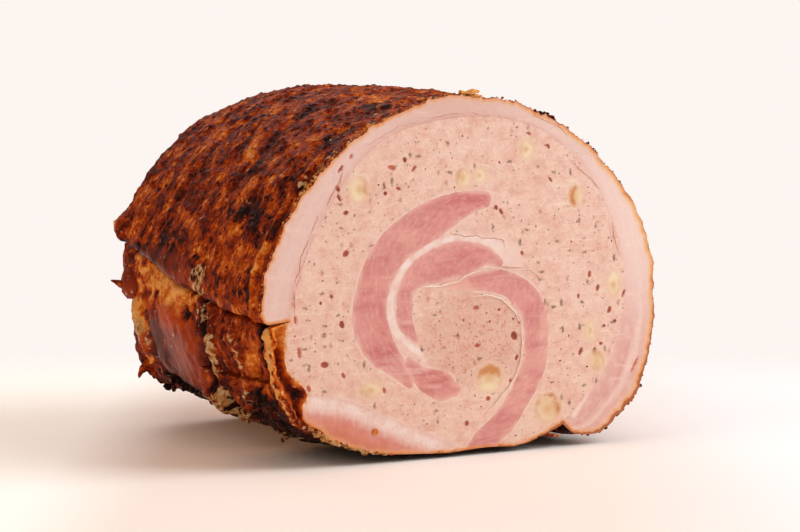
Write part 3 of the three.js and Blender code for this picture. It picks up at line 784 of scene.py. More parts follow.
def nearest(points, targets):
    """Distance from each point to the nearest target."""
    tree = tree_of(targets)
    return np.array([tree.find((x, z, 0))[2] for x, z in points])


def air_holes(core, shapes, line_points):
    """The holes that the photo shows one by one, and many smaller ones."""
    rng = np.random.default_rng(31)
    named = [(x, z, a, b, turn, 0.9 * min(a, b) + 0.3) for x, z, a, b, turn in AIR_HOLES]
    tree = tree_of(line_points)
    small = []
    for x, z in scatter(SMALL_HOLES, rng, core, HOLE_SPACING):
        size = 0.16 + 0.3 * rng.random() ** 2
        clear = tree.find((x, z, 0))[2] > size + FINE
        meat = any(inside([(x, z)], shapes[name])[0] for name in shapes)
        if clear and not meat and all(math.hypot(x - h[0], z - h[1]) > h[2] + h[3] + 1 for h in named):
            small.append((x, z, size, size * (1 + rng.random()), 180 * rng.random(), 0.6 + size))
    return named + small


def join_scraps(points, triangles, region, least=6.0):
    """Gives scraps of a piece, smaller than a few square millimetres, to the piece round them."""
    edges = {}
    for t, (a, b, c) in enumerate(triangles):
        for p, q in ((a, b), (b, c), (c, a)):
            edges.setdefault((min(p, q), max(p, q)), []).append(t)
    beside = [[] for _ in triangles]
    for pair in edges.values():
        if len(pair) == 2:
            beside[pair[0]].append(pair[1])
            beside[pair[1]].append(pair[0])
    corner = points[triangles]
    area = np.abs(np.cross(corner[:, 1] - corner[:, 0], corner[:, 2] - corner[:, 0])) / 2
    seen = np.zeros(len(triangles), bool)
    region = region.copy()
    for start in range(len(triangles)):
        if seen[start]:
            continue
        seen[start] = True
        group, border = [start], {}
        for t in group:
            for n in beside[t]:
                if region[n] != region[start]:
                    border[region[n]] = border.get(region[n], 0) + 1
                elif not seen[n]:
                    seen[n] = True
                    group.append(n)
        if border and area[group].sum() < least:
            region[group] = max(border, key=border.get)
    return region


# ------------------------------------------------------------------ pieces through the roast

# Where the meat ends at the lower left of the cut face. Beyond it the browned rind curls forward in a lip.
LIP_EDGE = [
    (-69.3, 48.6), (-69.9, 43.9), (-70.1, 39.9), (-69.4, 34.7), (-67.6, 31.3), (-63.2, 27.6), (-61.6, 24.6),
    (-63.3, 21.1), (-62.4, 16.2), (-55.9, 12.2), (-53.5, 8.8),
]
LIP_GAP = 0.8  # how near the lip's line comes to the rim
HOLE_DEPTH = 0.65
CUT_SLOT, OUTSIDE_SLOT = 0, 1
# The lift of the cut's lower edge, the height up to which it is felt, and the distance over which it fades.
RAISED_BY, RAISED_BELOW, RAISED_FADES = 2.2, 9, (1, 16)
SHARP_ANGLE = math.radians(62)
FAR_AWAY = 9.0  # stands for the distance to a border, away from the cut


def lip_line():
    """The lip's edge with its small unevenness."""
    line = spaced(spline(LIP_EDGE), 0.5)
    line[:, 0] += 0.35 * lumps.layers(line[:, 1] / 2.0, 3.0, 8.0, count=2)
    return line


class Face:
    """The triangulated cut face, with what its points need to be carried through the roast."""

    def __init__(self):
        self.points, self.triangles, self.region, self.rims, self.holes = draw_face()
        crust, shared, rind = (self.rims[name][1] for name in ("crust", "shared", "rind"))
        x, z = self.points[:, 0], self.points[:, 1] - CENTRE
        self.radius = np.hypot(x, z)
        angle = np.degrees(np.arctan2(z, x))
        self.angle = np.where(angle < SEAM_ANGLE - 360, angle + 360, angle)
        self.core = self.reach(np.vstack([shared, rind[1:-1]]))
        browned_rim = np.vstack([self.rims[name][1][:, :2] for name in ("crust", "seam", "notch", "rind")])
        self.depth = nearest(self.points, browned_rim)
        self.find_lip()
        self.find_edges()
        self.height, self.pit = self.relief()
        thickness = np.maximum(self.reach(crust) - self.core, 1e-6)
        self.across = np.clip((self.radius - self.core) / thickness, 0, 1)

    def find_lip(self):
        """How far each point of the lip is from the meat, 0, to the rim, 1."""
        line = lip_line()
        whole = np.vstack([line, [(line[-1, 0], -20), (-100, -20), (-100, 47.2)]])
        gap, within = nearest(self.points, line), inside(self.points, whole)
        self.lip_share = np.where(within, gap / (gap + self.depth + 0.01), 0)
        self.lip_depth = np.where(within, self.depth, np.minimum(self.depth, gap + 0.2))
        self.lip_depth = self.lip_depth - 1.1 * bell(self.angle + 38, 17)
        middle = self.points[self.triangles].mean(1)
        self.is_lip = inside(middle, whole) & (self.region != WRAP)

    def find_edges(self):
        """Distance from each point to the borders of all pieces, the strips, the nuts and the belly."""
        owners = {}
        for triangle, region in zip(self.triangles, self.region):
            for p in triangle:
                owners.setdefault(int(p), set()).add(int(region))
        count = len(REGIONS)
        wanted = {"edge": range(count), "strip_edge": range(FIRST_SHAPE, FIRST_NUT),
                  "nut_edge": range(FIRST_NUT, count), "wrap_edge": [WRAP]}
        self.edges = {}
        for key, which in wanted.items():
            border = [p for p, pieces in owners.items() if len(pieces) > 1 and pieces & set(which)]
            self.edges[key] = nearest(self.points, self.points[border])

    def reach(self, outline):
        """The radius of an outline at each point's angle."""
        order = np.argsort(outline[:, 2])
        radius = np.hypot(outline[:, 0], outline[:, 1] - CENTRE)
        return np.interp(self.angle, outline[order, 2], radius[order])

    def relief(self):
        """How far the cut surface stands back: the air holes, the knife's faint waves, the lip's hollow."""
        x, z = self.points.T
        depth, pit = np.zeros(len(x)), np.zeros(len(x))
        for cx, cz, half_x, half_z, turn, deep in self.holes:
            c, s = math.cos(math.radians(turn)), math.sin(math.radians(turn))
            a, b = (c * (x - cx) + s * (z - cz)) / half_x, (-s * (x - cx) + c * (z - cz)) / half_z
            rho = np.hypot(a, b)
            depth = np.maximum(depth, HOLE_DEPTH * deep * np.sqrt(np.clip(1 - rho * rho, 0, 1)))
            pit = np.maximum(pit, smooth(1.02, 0.75, rho))
        waves = 0.10 * lumps.layers(x / 7, z / 5, 20.0, count=3) + 0.05 * grit.layers(x / 1.6, z / 1.6, 3.0)
        hollow = 2.4 * bell(self.lip_share - 0.5, 0.17) * smooth(0, 2.0, self.depth)
        return depth + (0.12 + waves) * smooth(0, 1.5, self.depth) + hollow, pit

    def front(self, which):
        x, z = self.points[which].T
        return np.stack([x, FRONT + self.height[which], np.maximum(z, 0)], -1)

    def back(self, which, is_wrap):
        """Where points of the cut face come out at the browned end."""
        u, radius = self.angle[which], self.radius[which]
        if is_wrap:
            across = self.across[which]
            place, _ = surface_point("wrap", u, across, np.ones(len(u)))
            place[:, 1] += 1.6 * np.sin(math.pi * across)
            return place
        share = np.clip(radius / self.core[which], 0, 1)
        follow = smooth(0.72, 1, share)
        rim = true_angle(u, 1.0)
        x, z = polar(mix(u, rim, follow), mix(radius, share * core_radius(rim, 1.0), follow))
        lump = DOME_LUMPS * np.sin(0.09 * x + 1) * np.cos(0.11 * (z - CENTRE))
        rough = 0.5 * crags.layers(x / 6, z / 6, 5.0) * smooth(1, 0.9, share)
        y = mix(BACK_TIP - 0.8, along_roast(rim, 1.0), share ** 2) + lump * (1 - share ** 4) + rough
        return np.stack([x, y, np.maximum(z, 0)], -1)


def piece_mesh(face, name):
    """One piece: its cut face, its browned end, its outside and the hidden walls between pieces."""
    chosen = face.region == REGIONS.index(name)
    is_wrap = name == "belly_wrap"
    used, local = np.unique(face.triangles[chosen], return_inverse=True)
    local = local.reshape(-1, 3)
    count = len(used)
    spots = {g: i for i, g in enumerate(used.tolist())}
    verts = [face.front(used), face.back(used, is_wrap)]
    looks = [front_looks(face, used), end_looks(verts[1])]
    border = border_edges(local)
    on_rim = rim_edges(face, is_wrap, spots)
    fine = sorted({p for pair in border if pair in on_rim for p in pair})
    columns = add_outside(face, is_wrap, spots, fine, verts, looks) if fine else {}
    ends = [[columns.get(p, np.array([p, p + count])) for p in pair] for pair in border]
    faces = np.vstack([local, local[:, ::-1] + count] + [fan_wall(*pair) for pair in ends])
    slots = np.full(len(faces), OUTSIDE_SLOT)
    slots[:len(local)] = np.where(face.is_lip[chosen], OUTSIDE_SLOT, CUT_SLOT)
    verts = np.vstack(verts)
    fields = {key: np.concatenate([part[key] for part in looks]) for key in looks[0]}
    fields.update(cut_fields(face, used, len(verts)))
    return make_mesh(name + "_meat", verts, faces, slots, fields)


def border_edges(triangles):
    """The edges that only one triangle has, in its direction."""
    pairs = np.vstack([triangles[:, [0, 1]], triangles[:, [1, 2]], triangles[:, [2, 0]]])
    keys = set(map(tuple, pairs.tolist()))
    return [(a, b) for a, b in keys if (b, a) not in keys]


def rim_places(face, is_wrap):
    """The angle and the share across the belly of each rim point, by its number in the face."""
    found = {}
    for kind in ("crust", "seam", "notch") if is_wrap else ("rind",):
        for vertex, row in zip(*face.rims[kind]):
            found[int(vertex)] = (row[2], row[3])
    if is_wrap:
        shared = face.rims["shared"][0]
        found.update({int(shared[0]): (SEAM_ANGLE, 0.0), int(shared[-1]): (NOTCH_ANGLE, 0.0)})
    return found


def add_outside(face, is_wrap, spots, fine, verts, looks):
    """Adds the rows of the outside behind the rim points, and returns the column of points of each."""
    count = len(spots)
    rim = {spots[g]: place for g, place in rim_places(face, is_wrap).items() if g in spots}
    us, acrosses = np.array([rim[p] for p in fine]).T
    grid_u, grid_v = np.meshgrid(us, np.linspace(0, 1, ROWS + 1), indexing="ij")
    kind = "wrap" if is_wrap else "flank"
    place, look = surface_point(kind, grid_u, acrosses[:, None] + 0 * grid_v, grid_v)
    verts[1][fine] = place[:, -1]
    for key in look:
        looks[1][key][fine] = look[key][:, -1]
        looks[0][key][fine] = look[key][:, 0]
    verts.append(place[:, 1:-1].reshape(-1, 3))
    looks.append({key: values[:, 1:-1].reshape((-1,) + values.shape[2:]) for key, values in look.items()})
    inner = 2 * count + np.arange(len(fine) * (ROWS - 1)).reshape(len(fine), -1)
    return {p: np.r_[p, row, p + count] for p, row in zip(fine, inner)}


def cut_fields(face, used, length):
    """What the materials of the cut read at each point."""
    fields = {key: pad(gap[used], length, FAR_AWAY) for key, gap in face.edges.items()}
    fields["depth"] = pad(face.lip_depth[used], length)
    fields["pit"] = pad(face.pit[used], length)
    fields["across"] = pad(face.across[used], length, 1.0)
    turned = np.zeros((length, 3))
    turned[:, 0] = pad(arc(face.angle[used]), length)
    turned[:, 1] = pad(face.radius[used], length)
    fields["polar"] = turned
    return fields


def pad(values, length, rest=0.0):
    return np.concatenate([values, np.full(length - len(values), rest)])


def front_looks(face, which):
    """The looks of the browned lip in the cut face: orange rims, and a hollow between them and a dimple
    darkened with painted shade.
    """
    x, z = face.points[which].T
    share = face.lip_share[which]
    # Painted shade in the lip's hollow and in a dimple near its middle.
    hollow = bell(share - 0.45, 0.2) * (1 - 0.75 * smooth(37, 44, z))
    dimple_shade = bell(np.hypot(x + 65, z - 25.5), 1.4)
    tone = 0.83 - 0.42 * hollow + 0.14 * smooth(38, 45, z) - 0.5 * dimple_shade
    tone = tone + 0.25 * crags.layers(x / 2, z / 2, 3.0, count=3)
    cream = 0.62 * smooth(0.7, 0.9, share) * smooth(33, 25, z)
    round_scale, along_scale = NOISE_SCALE["flank"]
    around, along = arc(face.angle[which]) / round_scale, (FRONT - face.depth[which]) / along_scale
    return looks_of(tone, cream, 0.34, np.stack([around, along, 0 * x], -1))


def end_looks(at):
    """The browned end: mottled, with the layers only just showing."""
    x, z = at[:, 0], at[:, 2] - CENTRE
    tone = 0.5 + 0.3 * crags.layers(x / 12, z / 12, 1.0) + 0.2 * lumps.layers(x / 5, z / 5, 2.0)
    return looks_of(tone, 0.0, 0.8, np.stack([x / 4, z / 4, 0 * x + 30], -1))


def rim_edges(face, is_wrap, spots):
    """Pairs of neighbouring points that lie on the outside, in both directions."""
    rims = face.rims
    if is_wrap:
        shared = rims["shared"][0]
        chains = [rims["crust"][0],
                  np.r_[rims["crust"][0][0], rims["seam"][0], shared[0]],
                  np.r_[rims["crust"][0][-1], rims["notch"][0], shared[-1]]]
    else:
        chains = [rims["rind"][0]]
    found = set()
    for chain in chains:
        for p, q in zip(chain[:-1].tolist(), chain[1:].tolist()):
            if p in spots and q in spots:
                found |= {(spots[p], spots[q]), (spots[q], spots[p])}
    return found


def fan_wall(ca, cb):
    """Triangles between two columns of points that may differ in number, facing out."""
    if len(ca) == len(cb):
        upper, lower = np.stack([ca[:-1], ca[1:], cb[1:]], -1), np.stack([ca[:-1], cb[1:], cb[:-1]], -1)
        return np.vstack([upper, lower])
    if len(ca) > len(cb):
        half = len(ca) // 2
        near = [(ca[i], ca[i + 1], cb[0]) for i in range(half)]
        far = [(ca[i], ca[i + 1], cb[-1]) for i in range(half, len(ca) - 1)]
        return np.array(near + [(cb[0], ca[half], cb[-1])] + far)
    half = len(cb) // 2
    near = [(ca[0], cb[i + 1], cb[i]) for i in range(half)]
    far = [(ca[-1], cb[i + 1], cb[i]) for i in range(half, len(cb) - 1)]
    return np.array(near + [(ca[0], ca[-1], cb[half])] + far)


def raised(verts):
    """The lower edge of the cut stands a little clear of the table."""
    x, y, z = np.asarray(verts, float).T
    share = (1 - smooth(0, RAISED_BELOW, z)) * (1 - smooth(*RAISED_FADES, y - FRONT))
    return np.stack([x, y, z + RAISED_BY * share * (0.85 + 0.15 * np.sin(0.2 * x))], -1)


def add_fields(mesh, fields):
    """Adds a number or a vector for each point, under the names that the materials read."""
    for key, values in fields.items():
        values = np.asarray(values, np.float32)
        if values.ndim == 1:
            mesh.attributes.new(key, "FLOAT", "POINT").data.foreach_set("value", values)
        else:
            mesh.attributes.new(key, "FLOAT_VECTOR", "POINT").data.foreach_set("vector", values.ravel())


def make_mesh(name, verts, faces, slots, fields):
    """A mesh object with its place in the mesh, the object itself at the origin."""
    mesh = bpy.data.meshes.new(name)
    mesh.from_pydata(raised(verts) * MM, [], np.asarray(faces))
    mesh.polygons.foreach_set("material_index", np.asarray(slots, np.int32))
    mesh.polygons.foreach_set("use_smooth", np.ones(len(mesh.polygons), bool))
    add_fields(mesh, fields)
    mesh.update()
    mesh.set_sharp_from_angle(angle=SHARP_ANGLE)
    thing = bpy.data.objects.new(name, mesh)
    bpy.context.scene.collection.objects.link(thing)
    return thing


# ------------------------------------------------------------------ materials

def colour(red, green, blue):
    """A colour as it looks on a screen, 0 to 255, turned into the linear values that a shader takes."""
    share = np.array([red, green, blue]) / 255
    linear = np.where(share <= 0.04045, share / 12.92, ((share + 0.055) / 1.055) ** 2.4)
    return (*linear.tolist(), 1.0)


SCATTER_DEPTH = 1.6 * MM


class Shader:
    """Builds a node material step by step. Its methods return sockets."""

    def __init__(self, name):
        self.material = bpy.data.materials.new(name)
        self.material.use_nodes = True
        self.tree = self.material.node_tree
        self.principled = self.tree.nodes["Principled BSDF"]

    def set(self, socket, value):
        if isinstance(value, bpy.types.NodeSocket):
            self.tree.links.new(value, socket)
        else:
            socket.default_value = value

    def node(self, kind, inputs=(), **settings):
        made = self.tree.nodes.new(kind)
        for key, value in settings.items():
            setattr(made, key, value)
        for key, value in dict(inputs).items():
            self.set(made.inputs[key], value)
        return made

    def value(self, name):
        return self.node("ShaderNodeAttribute", attribute_name=name).outputs["Fac"]

    def vector(self, name):
        return self.node("ShaderNodeAttribute", attribute_name=name).outputs["Vector"]

    def place(self, scale=(1, 1, 1), turn=(0, 0, 0)):
        """The point in millimetres, stretched and turned."""
        where = self.node("ShaderNodeTexCoord").outputs["Object"]
        mapped = self.node("ShaderNodeMapping", {"Vector": where}, vector_type="POINT")
        mapped.inputs["Scale"].default_value = [s / MM for s in scale]
        mapped.inputs["Rotation"].default_value = turn
        return mapped.outputs["Vector"]

    def vectors(self, operation, a, b, out=0):
        return self.node("ShaderNodeVectorMath", {0: a, 1: b}, operation=operation).outputs[out]

    def stretched(self, vector, scale):
        return self.vectors("MULTIPLY", vector, scale)

    def noise(self, vector, scale, detail=3.0, rough=0.55, twist=0.0):
        inputs = {"Vector": vector, "Scale": scale, "Detail": detail, "Roughness": rough,
                  "Distortion": twist}
        return self.node("ShaderNodeTexNoise", inputs).outputs["Fac"]

    def wander(self, vector, scale, reach):
        """A small random displacement for each point."""
        noise = self.node("ShaderNodeTexNoise", {"Vector": vector, "Scale": scale, "Detail": 2.0})
        centred = self.vectors("SUBTRACT", noise.outputs["Color"], (0.5, 0.5, 0.5))
        return self.stretched(centred, (2 * reach,) * 3)

    def cells(self, vector, scale):
        return self.node("ShaderNodeTexVoronoi", {"Vector": vector, "Scale": scale}, feature="F1")

    def math(self, operation, a, b=0.0, c=0.0):
        made = self.node("ShaderNodeMath", operation=operation)
        for socket, value in zip(made.inputs, (a, b, c)):
            self.set(socket, value)
        return made.outputs[0]

    def plus(self, a, b):
        return self.math("ADD", a, b)

    def minus(self, a, b):
        return self.math("SUBTRACT", a, b)

    def times(self, a, b):
        return self.math("MULTIPLY", a, b)

    def sway(self, value, noise, reach):
        """The value, moved up and down by a noise."""
        return self.plus(value, self.math("MULTIPLY_ADD", noise, reach, -reach / 2))

    def between(self, value, low, high, out_low=0.0, out_high=1.0):
        """Maps a value smoothly from one range to another."""
        inputs = {"Value": value, "From Min": low, "From Max": high, "To Min": out_low, "To Max": out_high}
        return self.node("ShaderNodeMapRange", inputs, interpolation_type="SMOOTHSTEP").outputs["Result"]

    def blend(self, share, a, b):
        made = self.node("ShaderNodeMix", data_type="RGBA", blend_type="MIX")
        for socket, value in ((0, share), (6, a), (7, b)):
            self.set(made.inputs[socket], value)
        return made.outputs[2]

    def tints(self, shade, rows):
        """Lays colours over a shade, each where a value goes from low to high, times its masks."""
        for value, low, high, share, tint, *mask in rows:
            share = self.between(value, low, high, 0.0, share)
            for field in mask:
                share = self.times(share, field)
            shade = self.blend(share, shade, colour(*tint))
        return shade

    def ramp(self, value, stops):
        """Colours along a value, given as they look on a screen, or linear with four numbers."""
        made = self.node("ShaderNodeValToRGB", {"Fac": value})
        elements = made.color_ramp.elements
        while len(elements) < len(stops):
            elements.new(0.5)
        for element, (where, shade) in zip(elements, stops):
            element.position = where
            element.color = shade if len(shade) == 4 else colour(*shade)
        return made.outputs["Color"]

    def bump(self, height, strength, distance):
        inputs = {"Height": height, "Strength": strength, "Distance": distance * MM}
        return self.node("ShaderNodeBump", inputs).outputs["Normal"]

    def finish(self, base, rough, normal, subsurface=0.0, radius=(1.0, 0.5, 0.35), coat=0.0):
        """Sets the look of the surface. The subsurface radii count in SCATTER_DEPTH."""
        put = self.principled.inputs
        self.set(put["Base Color"], base)
        self.set(put["Roughness"], rough)
        self.set(put["Normal"], normal)
        put["Subsurface Weight"].default_value = subsurface
        put["Subsurface Radius"].default_value = radius
        put["Subsurface Scale"].default_value = SCATTER_DEPTH
        put["Coat Weight"].default_value = coat
        put["Coat Roughness"].default_value = 0.2
        put["IOR"].default_value = 1.45
        return self.material


def crust_material():
    """The browned, greasy, spice-rubbed outside."""
    s = Shader("browned_crust")
    roll, spot, glaze, given = s.vector("roll"), s.place(), s.value("glaze"), s.value("tone")
    zone = s.noise(roll, 0.45, 3.0, 0.5)
    blotch = s.noise(roll, 0.95, 3.0, 0.55, 0.3)
    grain = s.noise(roll, 2.1, 3.0, 0.55)
    fine = s.noise(spot, 1.1, 3.0, 0.6)
    rugged = s.value("rugged")
    tone = s.math("MULTIPLY_ADD", zone, 1.3, -0.65)
    for noise, reach in ((blotch, 0.95), (grain, 0.55), (fine, 0.72)):
        tone = s.sway(tone, noise, reach)
    tone = s.math("MULTIPLY_ADD", tone, rugged, given)
    char = s.noise(s.stretched(roll, (1, 1, 1.7)), 1.45, 3.0, 0.6)
    char = s.minus(char, s.math("MULTIPLY_ADD", given, 0.3, -0.165))
    tone = s.minus(tone, s.times(s.between(char, 0.54, 0.66, 0.0, 0.36), rugged))
    shade = s.ramp(tone, [
        (0.0, (30, 12, 12)), (0.18, (58, 20, 16)), (0.34, (94, 29, 14)), (0.5, (138, 46, 15)),
        (0.66, (180, 72, 16)), (0.84, (218, 112, 28)), (1.0, (240, 168, 86)),
    ])
    # Painted highlights: pinkish-grey specks at the peaks of the fine noise, for small glints of grease.
    shade = s.tints(shade, [(fine, 0.56, 0.74, 0.5, (186, 112, 88), s.between(zone, 0.4, 0.6))])
    pale = s.sway(s.sway(s.value("cream"), grain, 2.6), blotch, 2.0)
    plum = s.ramp(s.sway(given, zone, 0.5), [
        (0.05, (30, 12, 11)), (0.3, (98, 44, 36)), (0.5, (142, 54, 30)), (0.75, (176, 66, 20)),
    ])
    shade = s.blend(s.between(glaze, 0.1, 0.6, 0.0, 0.92), shade, plum)
    shreds = s.ramp(grain, [(0.36, (150, 82, 34)), (0.5, (196, 142, 84)), (0.64, (222, 190, 146))])
    shade = s.blend(s.between(pale, 0.5, 0.9), shade, shreds)
    rough = s.between(s.minus(blotch, s.times(glaze, 0.3)), 0.35, 0.65, 0.3, 0.6)
    height = s.minus(s.times(fine, 0.5), s.times(blotch, 0.3))
    height = s.minus(height, s.times(grain, 0.35))
    height = s.plus(height, s.between(char, 0.5, 0.66, 0.0, 0.3))
    quiet = s.minus(1.0, s.times(glaze, 0.93))
    s.principled.inputs["Specular IOR Level"].default_value = 0.04
    return s.finish(shade, rough, s.bump(height, quiet, 1.1), 0.0, (0.8, 0.3, 0.15), 0.05)


# Specks of herb, pepper and spice: stretching, cells per millimetre, size, colour, share left out.
SPECKS = [
    ((1, 1, 0.5), 0.28, 0.25, (102, 74, 26), 0.64), ((0.5, 1, 1), 0.33, 0.25, (118, 86, 36), 0.68),
    ((0.8, 1, 0.8), 0.6, 0.24, (116, 80, 44), 0.7), ((1, 1, 1), 0.5, 0.2, (186, 100, 76), 0.7),
    ((1, 1, 0.7), 0.27, 0.27, (204, 140, 112), 0.7),
]


def herbs_on(s, shade, spot):
    """Fine specks, each in its own cell."""
    bent = s.vectors("ADD", spot, s.wander(spot, 1.0, 0.7))
    for stretch, scale, size, tint, left_out in SPECKS:
        cells = s.cells(s.stretched(bent, stretch), scale)
        chosen = s.node("ShaderNodeSeparateColor", {"Color": cells.outputs["Color"]}).outputs[0]
        chosen = s.between(chosen, left_out, left_out + 0.02)
        speck = s.times(s.between(cells.outputs["Distance"], size, size * 0.3), chosen)
        shade = s.blend(s.times(speck, 0.78), shade, colour(*tint))
    return shade


def near_crust(s, shade, reach=2.4):
    """The cut meat turns yellow, then brown, towards the crust."""
    depth = s.sway(s.value("depth"), s.noise(s.place(), 0.35, 3.0), 1.8)
    broken = s.between(s.noise(s.place(), 0.16, 3.0), 0.4, 0.62, 0.42, 0.95)
    return s.tints(shade, [
        (depth, reach, 0.3 * reach, 0.5, (232, 178, 132)), (depth, 1.35, 0.4, 1.0, (228, 142, 66), broken),
        (depth, 0.35, 0.0, 0.8, (158, 74, 26)),
    ])


def knife_lines(s, shade, strength):
    """Pale, nearly parallel lines that the knife left across the firmer meat."""
    across_cut = s.place((0.05, 1, 0.62), (0, math.radians(-20), 0))
    fine_lines = s.noise(across_cut, 0.7, 2.0, 0.5)
    mask = s.between(s.noise(s.place(), 0.07, 2.0), 0.42, 0.62)
    return s.tints(shade, [(fine_lines, 0.56, 0.7, 1.0, (244, 214, 204), mask, strength)])


def painted_hole_shade(s, shade):
    """The air holes are warmer inside, and darker with painted shade."""
    pit = s.value("pit")
    # Painted shade inside the holes, darker in patches.
    dark = s.between(s.noise(s.place(), 0.12, 2.0), 0.42, 0.6)
    inner = s.blend(dark, colour(214, 116, 90), colour(160, 66, 46))
    shade = s.tints(shade, [(pit, 0.1, 0.6, 0.7, (212, 128, 104))])
    return s.blend(s.between(pit, 0.55, 1.0, 0, 0.85), shade, inner)


def forcemeat_material():
    """The light forcemeat: pale, with herbs, greyer and spiced with orange in its middle."""
    s = Shader("forcemeat_cut")
    spot = s.place()
    broad, mid, fine = s.noise(spot, 0.045, 3.0), s.noise(spot, 0.3, 4.0, 0.6), s.noise(spot, 1.4, 3.0, 0.6)
    wisps = s.noise(s.place((0.16, 1, 0.6), (0, math.radians(-12), 0)), 0.7, 4.0, 0.6, 1.0)
    shade = s.ramp(broad, [(0.3, (232, 188, 171)), (0.7, (238, 202, 186))])
    shade = s.tints(shade, [
        (mid, 0.42, 0.72, 0.6, (244, 217, 200)), (mid, 0.48, 0.3, 0.5, (222, 164, 146)),
        (wisps, 0.55, 0.72, 0.6, (246, 224, 206)), (wisps, 0.42, 0.3, 0.4, (216, 152, 134)),
        (fine, 0.5, 0.3, 0.35, (214, 156, 136)), (fine, 0.56, 0.72, 0.45, (248, 226, 206)),
    ])
    core = s.value("core")
    shade = s.blend(s.times(core, 0.32), shade, colour(206, 152, 130))
    orange = s.noise(spot, 0.9, 3.0, 0.6)
    shade = s.tints(shade, [(orange, 0.55, 0.68, 1.0, (204, 104, 62), core, 0.6)])
    shade = herbs_on(s, shade, spot)
    line = s.sway(s.value("strip_edge"), mid, 1.4)
    seldom = s.between(s.noise(spot, 0.11, 3.0), 0.42, 0.6)
    shade = s.tints(shade, [(line, 1.1, 0.1, 0.75, (242, 214, 202), seldom)])
    halo = s.sway(s.value("nut_edge"), mid, 2.4)
    shade = s.tints(shade, [(halo, 2.0, 0.0, 0.4, (238, 208, 176))])
    shade = painted_hole_shade(s, near_crust(s, shade))
    height = s.plus(s.times(mid, 0.6), s.times(fine, 0.4))
    return s.finish(shade, s.between(fine, 0.3, 0.7, 0.38, 0.55), s.bump(height, 0.35, 0.35), 0.1)


def loin_material():
    """The darker strips: grain across the roll, in pink bands."""
    s = Shader("loin_cut")
    spot, polar_spot = s.place(), s.vector("polar")
    grain = s.noise(s.stretched(polar_spot, (0.12, 0.8, 1)), 1.0, 5.0, 0.65, 0.5)
    broad, mid, fine = s.noise(spot, 0.09, 3.0), s.noise(spot, 0.35, 4.0, 0.6), s.noise(spot, 1.4, 3.0)
    shade = s.ramp(broad, [(0.3, (212, 136, 132)), (0.7, (222, 154, 148))])
    deep = s.value("deep")
    shade = s.tints(shade, [
        (deep, 0.0, 1.0, 0.8, (206, 116, 114)), (deep, 0.0, -1.0, 0.85, (236, 180, 164)),
    ])
    bands = s.noise(s.place((0.3, 1, 1.0), (0, math.radians(-24), 0)), 0.19, 2.0, 0.5, 0.6)
    shade = s.tints(shade, [
        (bands, 0.5, 0.64, 0.4, (232, 166, 158)), (bands, 0.48, 0.36, 0.36, (200, 108, 110)),
        (grain, 0.48, 0.7, 0.4, (236, 182, 168)), (grain, 0.5, 0.3, 0.3, (196, 108, 104)),
        (mid, 0.5, 0.75, 0.35, (234, 184, 170)), (fine, 0.55, 0.8, 0.3, (240, 196, 182)),
    ])
    shade = knife_lines(s, shade, 0.3)
    edge = s.sway(s.value("edge"), mid, 2.0)
    seldom = s.between(s.noise(spot, 0.13, 3.0), 0.4, 0.62, 0.15, 0.8)
    shade = s.tints(shade, [(edge, 1.7, 0.1, 1.0, (236, 188, 176), seldom)])
    shade = painted_hole_shade(s, near_crust(s, shade, 1.2))
    return s.finish(shade, 0.42, s.bump(grain, 0.3, 0.3), 0.1, (1.2, 0.5, 0.4))


def fat_material():
    """The white layer."""
    s = Shader("fat_cut")
    spot = s.place()
    mid = s.noise(spot, 0.25, 4.0)
    shade = s.ramp(mid, [(0.3, (236, 200, 190)), (0.5, (243, 218, 210)), (0.75, (248, 232, 226))])
    edge = s.sway(s.value("edge"), s.noise(spot, 0.5, 3.0), 1.6)
    shade = s.tints(shade, [(edge, 0.9, 0.0, 0.6, (234, 186, 174))])
    shade = s.blend(s.times(s.value("fade"), 0.8), shade, colour(239, 205, 192))
    return s.finish(painted_hole_shade(s, shade), 0.36, s.bump(s.noise(spot, 0.8, 3.0), 0.2, 0.3), 0.1)


def nut_material():
    """A cut hazelnut: cream, with a golden ring and a soft edge."""
    s = Shader("nut_cut")
    spot = s.place()
    patchy = s.noise(spot, 0.3, 4.0, 0.6)
    bent = s.math("MULTIPLY_ADD", patchy, 0.9, -0.45)
    rho = s.plus(s.value("rho"), bent)
    shade = s.ramp(rho, [
        (0.0, (224, 180, 132)), (0.3, (232, 198, 156)), (0.6, (236, 210, 176)), (0.98, (230, 190, 158)),
    ])
    golden = s.plus(s.value("golden"), s.times(bent, 1.4))
    shade = s.tints(shade, [
        (golden, 0.0, 0.9, 0.9, (204, 128, 60)), (golden, -0.1, -0.9, 0.8, (243, 224, 188)),
        (s.noise(spot, 1.8, 3.0), 0.55, 0.75, 0.3, (246, 230, 200)),
    ])
    edge = s.plus(s.value("edge"), s.times(bent, 3.2))
    shade = s.tints(shade, [(edge, 1.7, 0.1, 0.85, (236, 196, 172))])
    return s.finish(shade, 0.5, s.bump(s.noise(spot, 1.4, 3.0), 0.3, 0.25), 0.1)


